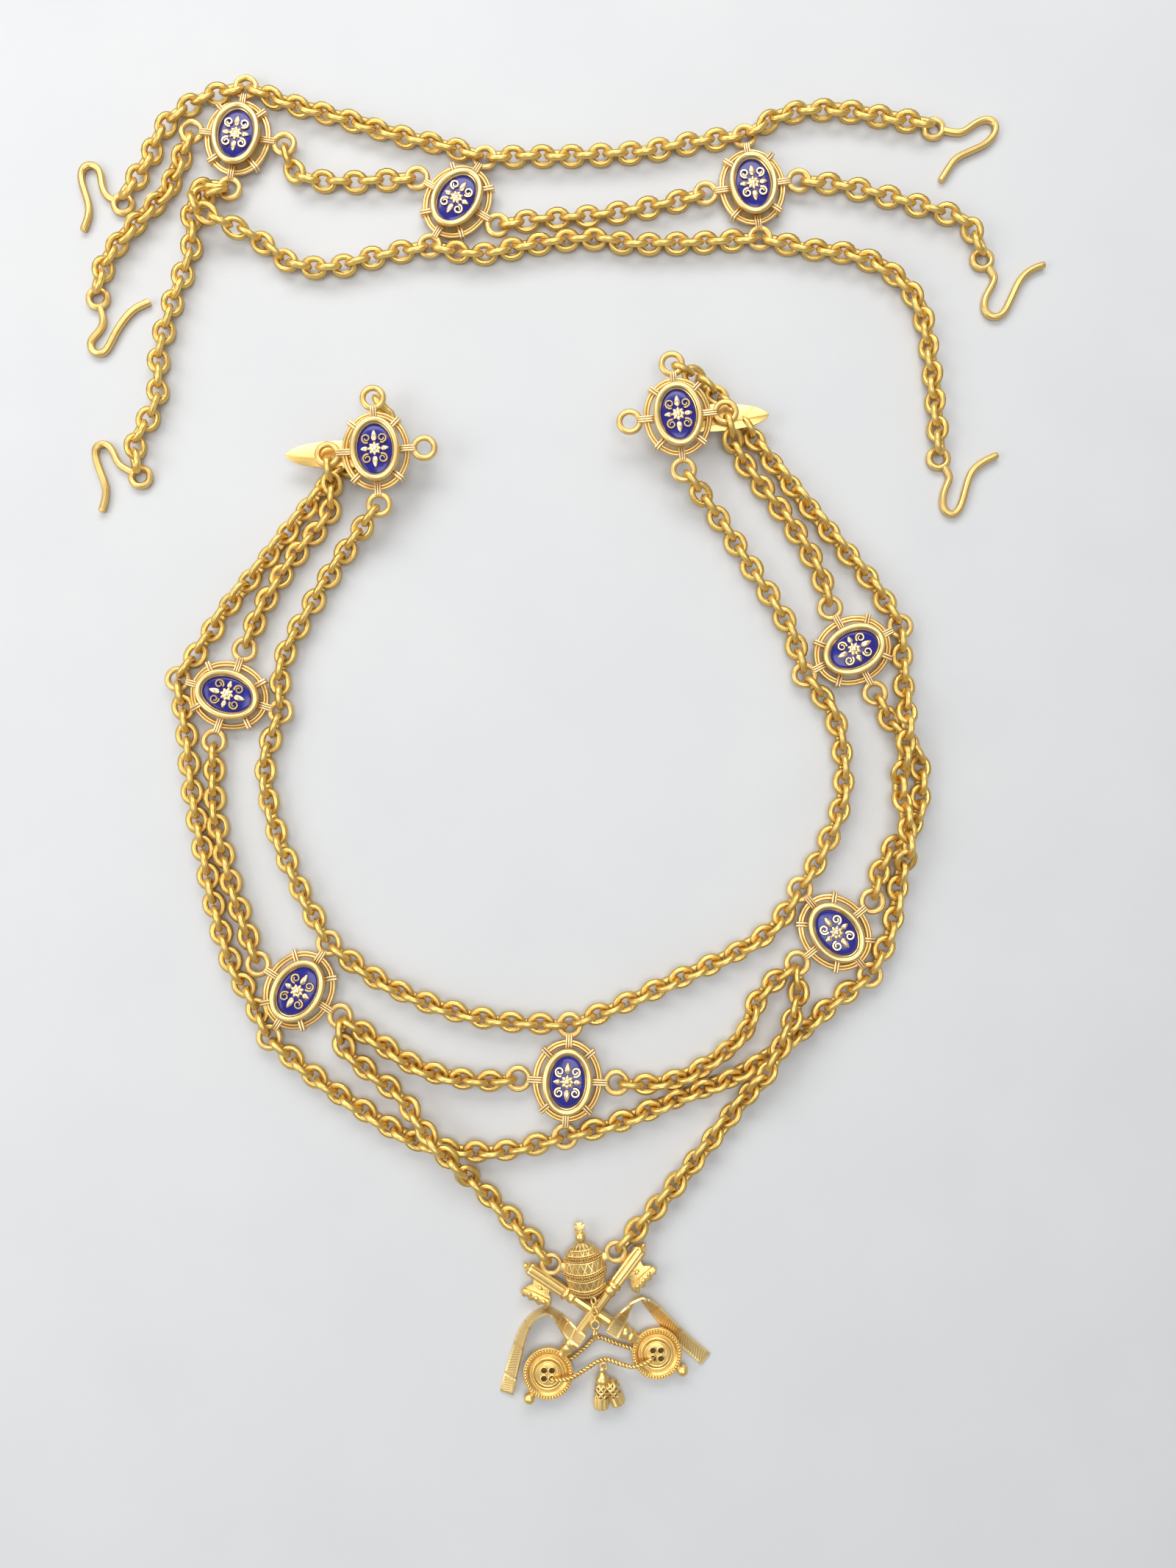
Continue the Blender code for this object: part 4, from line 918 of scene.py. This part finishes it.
BOW_AT = 56.7
BOW_BEADS = 50
HOLE_REACH = 1.98 * MM
KEY_CROSSING = 30.0
pieces = []
for turn, mirror, height in ((-33.2, -1, 3.1), (-127.4, 1, 3.9)):
    matrix = (Matrix.Translation((0, 0, height * MM)) @ Matrix.Rotation(math.radians(turn), 4, "Z")
              @ Matrix.Translation((-KEY_CROSSING * MM, 0, 0)))
    for piece in key_pieces(mirror, turn):
        piece.data.transform(matrix)
        pieces.append(piece)

# The crown lies on its back behind the keys. Double corded bands part its three chased tiers.
crown_matrix = (Matrix.Translation(Vector((-2.2, 8.0, 3.8)) * MM)
                @ Matrix.Rotation(math.radians(8), 4, "Z") @ Matrix.Rotation(math.radians(-90), 4, "X"))


def bow_down(item, half_width=7.2):
    """Let the middle of the crown's front sink towards its base, as the bands of the cast relief do."""
    for vertex in item.data.vertices:
        along = vertex.co.z / MM
        sag = 2.3 - 0.11 * along if along < 14 else 0.76 * (17.4 - along) / 3.4
        vertex.co.z -= max(0.0, sag) * (1 - (vertex.co.x / MM / half_width) ** 2) * MM
    return item


tiers = [(0.0, 6.0), (0.9, 6.3), (2.0, 6.6), (3.5, 7.0), (5.0, 7.3), (6.7, 7.45), (8.3, 7.3), (9.9, 7.0),
         (11.2, 6.7), (12.1, 6.4), (13.2, 5.9), (14.3, 5.2), (15.2, 4.2), (15.9, 3.1),
         (16.5, 1.9), (16.9, 0.8)]
shell = stack_ovals("crown", [(radius, radius * 0.41, along) for along, radius in tiers], 48)
chase = shell.data.attributes.new("chase", "FLOAT_VECTOR", "POINT")
for vertex in shell.data.vertices:
    along = vertex.co.z / MM
    across = math.atan2(vertex.co.x, abs(vertex.co.y) / 0.41) / math.pi
    chase.data[vertex.index].vector = (across * 9, along / 2.2 + 0.1, 0)
pieces.append(lay(bow_down(shell), crown_matrix, chased))
for along, radius in ((0.2, 6.1), (1.2, 6.4), (5.6, 7.45), (6.6, 7.5), (11.4, 6.7), (12.3, 6.35)):
    band = oval_wire(radius, radius * 0.43, along, 0.8, 64, 8)
    pieces.append(lay(bow_down(band), crown_matrix, crown_rope))
for along, radius in ((2.0, 6.6), (4.9, 7.3), (7.3, 7.4), (10.7, 6.85), (13.0, 6.0), (14.6, 4.9)):
    band = oval_wire(radius, radius * 0.42, along, 0.5, 64, 6)
    pieces.append(lay(bow_down(band), crown_matrix, badge_gilt))
bpy.ops.mesh.primitive_uv_sphere_add(segments=20, ring_count=12, radius=2.0 * MM)
bpy.ops.object.shade_smooth()
pieces.append(lay(bpy.context.object, crown_matrix @ Matrix.Translation((0, 0, 18.4 * MM)), badge_gilt))
cross = [(-0.5, -0.5), (-0.85, -1.75), (0.0, -1.6), (0.85, -1.75), (0.5, -0.5), (1.75, -0.85), (1.6, 0.0),
         (1.75, 0.85), (0.5, 0.5), (0.85, 1.75), (0.0, 1.6), (-0.85, 1.75), (-0.5, 0.5), (-1.75, 0.85),
         (-1.6, 0.0), (-1.75, -0.85)]
upright = Matrix.Translation((0, 0, 21.7 * MM)) @ Matrix.Rotation(math.radians(90), 4, "X")
pieces.append(lay(flat_piece(cross, 1.2, 0, 0.15), crown_matrix @ upright, badge_gilt))
for side, (x, y) in BADGE_RINGS.items():
    ring = oval_wire(3.15, 3.15, 0, 2.0, 28, 10)
    pieces.append(lay(ring, Matrix.Translation(Vector((x, y, 3.4)) * MM), ring_gilt))
    root = Vector((-3.6, 13.6, 0)) if side == "left" else Vector((-3.9, 15.6, 0))
    inward = root - Vector((x, y, 0))
    length = inward.length - 2.8
    inward.normalize()
    lug = smooth_bar((length, 3.4, 1.9), Vector((x, y, 3.4)) + inward * (2.8 + length / 2),
                     math.atan2(inward.y, inward.x))
    pieces.append(lay(lug, STILL, badge_gilt))

# The ribbons are thin strips that lie flat, stand on edge where they arch, and carry hatched panels.
ribbon_gilt, shader, start = new_finish("ribbon_gilt", Metallic=1.0)
where = start.node("ShaderNodeUVMap", {}, {})
along = start.node("ShaderNodeSeparateXYZ", {}, {0: where}, "X")
around = start.node("ShaderNodeSeparateXYZ", {}, {0: where}, "Y")
hatch = (along * 105 + around * 3).wave()
off_middle = around.maths("ABSOLUTE", around - 0.5)
inside = start.node("ShaderNodeMapRange", {}, {0: off_middle, 1: 0.40, 2: 0.32})
panel = along.maths("PINGPONG", along * 8, 0.5)
border = start.node("ShaderNodeMapRange", {}, {0: panel, 1: 0.10, 2: 0.04})
# shaded_cuts is the hatching and the panel borders: bumped in, and coloured darker as painted shade in the
# cuts.
shaded_cuts = hatch.maths("MAXIMUM", hatch * inside, border)
tone = grain(start, 0.002).blend((0.90, 0.64, 0.24, 1), (0.98, 0.76, 0.36, 1))
connect(shader, Base_Color=(shaded_cuts * 0.5).blend(tone, (0.62, 0.38, 0.12, 1)),
        Roughness=grain(start, 0.001) * 0.08 + 0.38, Normal=bump(1 - shaded_cuts, 0.00012))
RIBBONS = (
    [(-4.05, -9.2, 0), (-8.4, -6.5, 27), (-11.6, -3.5, 56), (-14.3, -1.1, 80), (-17.0, 0.0, 85),
     (-20.3, -1.35, 82), (-23.2, -4.3, 70), (-25.7, -8.9, 56), (-27.5, -15.1, 44), (-29.4, -22.0, 33),
     (-31.0, -29.2, 10)],
    [(6.2, -7.0, 0), (8.6, -3.5, 15), (10.8, -0.8, 45), (13.2, 1.9, 68), (14.9, 3.9, 80),
     (17.6, 3.7, 64), (19.6, 2.2, 44), (22.9, -1.2, 30), (27.6, -6.4, 20), (33.4, -12.2, 10),
     (39.8, -17.6, 0)],
)
for stations in RIBBONS:
    guide = smooth_line([Vector(station) for station in stations], 0.8)
    bpy.ops.mesh.primitive_grid_add(x_subdivisions=len(guide) - 1, y_subdivisions=4, size=2 * MM)
    strip = bpy.context.object
    for vertex in strip.data.vertices:
        share = (vertex.co.x / MM + 1) / 2
        index = min(round(share * (len(guide) - 1)), len(guide) - 1)
        here = guide[index]
        step = guide[min(index + 1, len(guide) - 1)] - guide[max(index - 1, 0)]
        step = Vector((step.x, step.y, 0)).normalized()
        twist = math.radians(here.z)
        across = Vector((-step.y, step.x, 0)) * math.cos(twist) + Vector((0, 0, 1)) * math.sin(twist)
        lift = max(2.5 * abs(math.sin(twist)) + 0.4, 6.6 - 10.5 * index / (len(guide) - 1))
        vertex.co = (Vector((here.x, here.y, lift)) + across * 2.5 * vertex.co.y / MM) * MM
    thick = strip.modifiers.new("thick", "SOLIDIFY")
    thick.thickness = 0.7 * MM
    thick.offset = 0
    bpy.ops.object.modifier_apply(modifier="thick")
    bpy.ops.object.shade_smooth_by_angle(angle=math.radians(50))
    pieces.append(lay(strip, STILL, ribbon_gilt))
whole = join("badge_casting", pieces)
whole.data.transform(badge_place)
stand_for(whole, "gilt", "badge")


# A fine chain of small gilt links hangs from the crown over the crossing, and from it a wire of two
# twisted strands reaches the rims of both bows. A second one goes through the bows' holes and carries
# the tassel.
HANG = (0.48, -3.6, 6.05)
pieces = []
for number in range(2):
    ring = oval_wire(1.45, 1.45, 0, 0.9, 20, 8)
    turn = Matrix.Rotation(math.radians(70 * number), 4, "Y")
    place = Matrix.Translation(Vector((HANG[0], HANG[1] - 2.9 * number, HANG[2])) * MM)
    pieces.append(lay(ring, place @ turn, badge_gilt))
whole = join("hanger_links", pieces)
whole.data.transform(badge_place)
stand_for(whole, "gilt", "hanger")
pieces = []
for number in range(4):
    ring = oval_wire(1.05, 1.35, 0, 0.7, 18, 8)
    turn = Matrix.Rotation(math.radians(80 * (number + 1)), 4, "Y")
    place = Matrix.Translation(Vector((HANG[0] - 0.2 * number, HANG[1] + 2.1 * (number + 1), 6.6)) * MM)
    pieces.append(lay(ring, place @ turn, badge_gilt))
whole = join("crossing_links", pieces)
whole.data.transform(badge_place)
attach(whole, "root")

TWISTS = {
    "twist_upper": [(-8.4, -17.0, 2.4), (-3.5, -13.5, 1.6), (0.8, -9.8, 1.6), (7.3, -11.6, 1.6),
                    (13.6, -13.3, 2.4)],
    "twist_lower": [(-15.0, -22.7, 4.0), (-13.8, -22.6, 6.0), (-8.4, -22.0, 6.4), (-3.5, -20.1, 4.2),
                    (3.2, -17.0, 2.7), (9.3, -18.1, 3.4), (14.2, -18.2, 5.6), (19.6, -16.4, 5.6),
                    (20.9, -16.1, 3.6)],
}
for name, stations in TWISTS.items():
    guide = smooth_line([Vector(station) * MM for station in stations], 0.35 * MM)
    strands = []
    for phase in (0.0, math.pi):
        points = []
        reach = 0.0
        for index, here in enumerate(guide):
            step = guide[min(index + 1, len(guide) - 1)] - guide[max(index - 1, 0)]
            step.normalize()
            side = Vector((-step.y, step.x, 0)).normalized()
            up = step.cross(side)
            angle = phase + reach / (2.7 * MM) * 2 * math.pi
            points.append(here + (side * math.cos(angle) + up * math.sin(angle)) * 0.5 * MM)
            reach += (guide[min(index + 1, len(guide) - 1)] - here).length
        strands.append(wire_piece(points, [0.42 * MM] * len(points), 1))
    whole = join(name + "_wire", strands)
    whole.data.materials.clear()
    whole.data.materials.append(badge_gilt)
    whole.data.transform(badge_place)
    stand_for(whole, "gilt", name)


# The tassel is cast gilt brass: two bulbs, a netted head, and two fluted skirts side by side.
def net_gilt(name):
    """Gilt with a raised lozenge net."""
    material, shader, start = new_finish(name, Metallic=1.0)
    where = start.node("ShaderNodeTexCoord", {}, {}, "Object")
    x = start.node("ShaderNodeSeparateXYZ", {}, {0: where}, "X")
    y = start.node("ShaderNodeSeparateXYZ", {}, {0: where}, "Y")
    net = x.maths("MAXIMUM", ((x + y) * 460).wave(), ((x - y) * 460).wave())
    # The hollows of the net get painted shade from the groove colour.
    raise_pattern(start, shader, net, net * 0.9 + 0.1, (0.34, 0.17, 0.04, 1), 0.0003)
    return material


netted = net_gilt("netted_gilt")
START = Vector((2.88, -18.5, 2.95))


def hanging(item, start, heading, finish):
    """Lay a turned piece along a heading from a place of the tassel."""
    turn = math.atan2(heading[1], heading[0])
    matrix = Matrix.Translation((START + Vector(start)) * MM) @ Matrix.Rotation(turn, 4, "Z") @ ALONG_X
    return lay(item, matrix, finish)


bulbs = [(0.9, 0.5), (1.3, 1.0), (2.0, 1.1), (2.5, 0.8), (3.0, 0.9), (3.7, 1.7), (4.6, 2.4), (5.6, 2.5),
         (6.4, 2.2), (6.9, 1.7)]
head_left = [(5.8, 1.2), (6.4, 2.2), (7.4, 2.7), (9.8, 2.75), (10.6, 2.6), (11.0, 2.7), (11.4, 2.5)]
head_right = [(5.8, 1.0), (6.6, 2.2), (7.6, 2.7), (10.0, 2.75), (10.8, 2.5), (11.2, 2.6), (11.6, 2.4)]
left = [(9.8, 2.0), (11.0, 2.7), (12.0, 2.8), (14.6, 2.85), (15.0, 2.6)]
right = [(9.8, 2.0), (11.2, 2.6), (12.2, 2.6), (14.6, 2.65), (15.0, 2.4)]
ring = ring_piece(1.2, 0.7, 0, badge_gilt, 20, 8)
pieces = [lay(ring, Matrix.Translation((START + Vector((0.6, -0.7, 0))) * MM), badge_gilt),
          hanging(stack_ovals("bulbs", round_row(bulbs), 20), (0, 0, 0), (0.02, -1), badge_gilt),
          hanging(stack_ovals("head_left", round_row(head_left), 20), (0, 0, 0), (0.0, -1), netted),
          hanging(stack_ovals("head_right", round_row(head_right), 20), (0, 0, 0), (0.44, -1), netted),
          hanging(fluted(round_row(left), 24, 0.14), (0, 0, 0), (-0.02, -1), badge_gilt),
          hanging(fluted(round_row(right), 24, 0.14), (0, 0, 0), (0.44, -1), badge_gilt)]
whole = join("tassel_casting", pieces)
whole.data.transform(badge_place)
stand_for(whole, "gilt", "tassel")
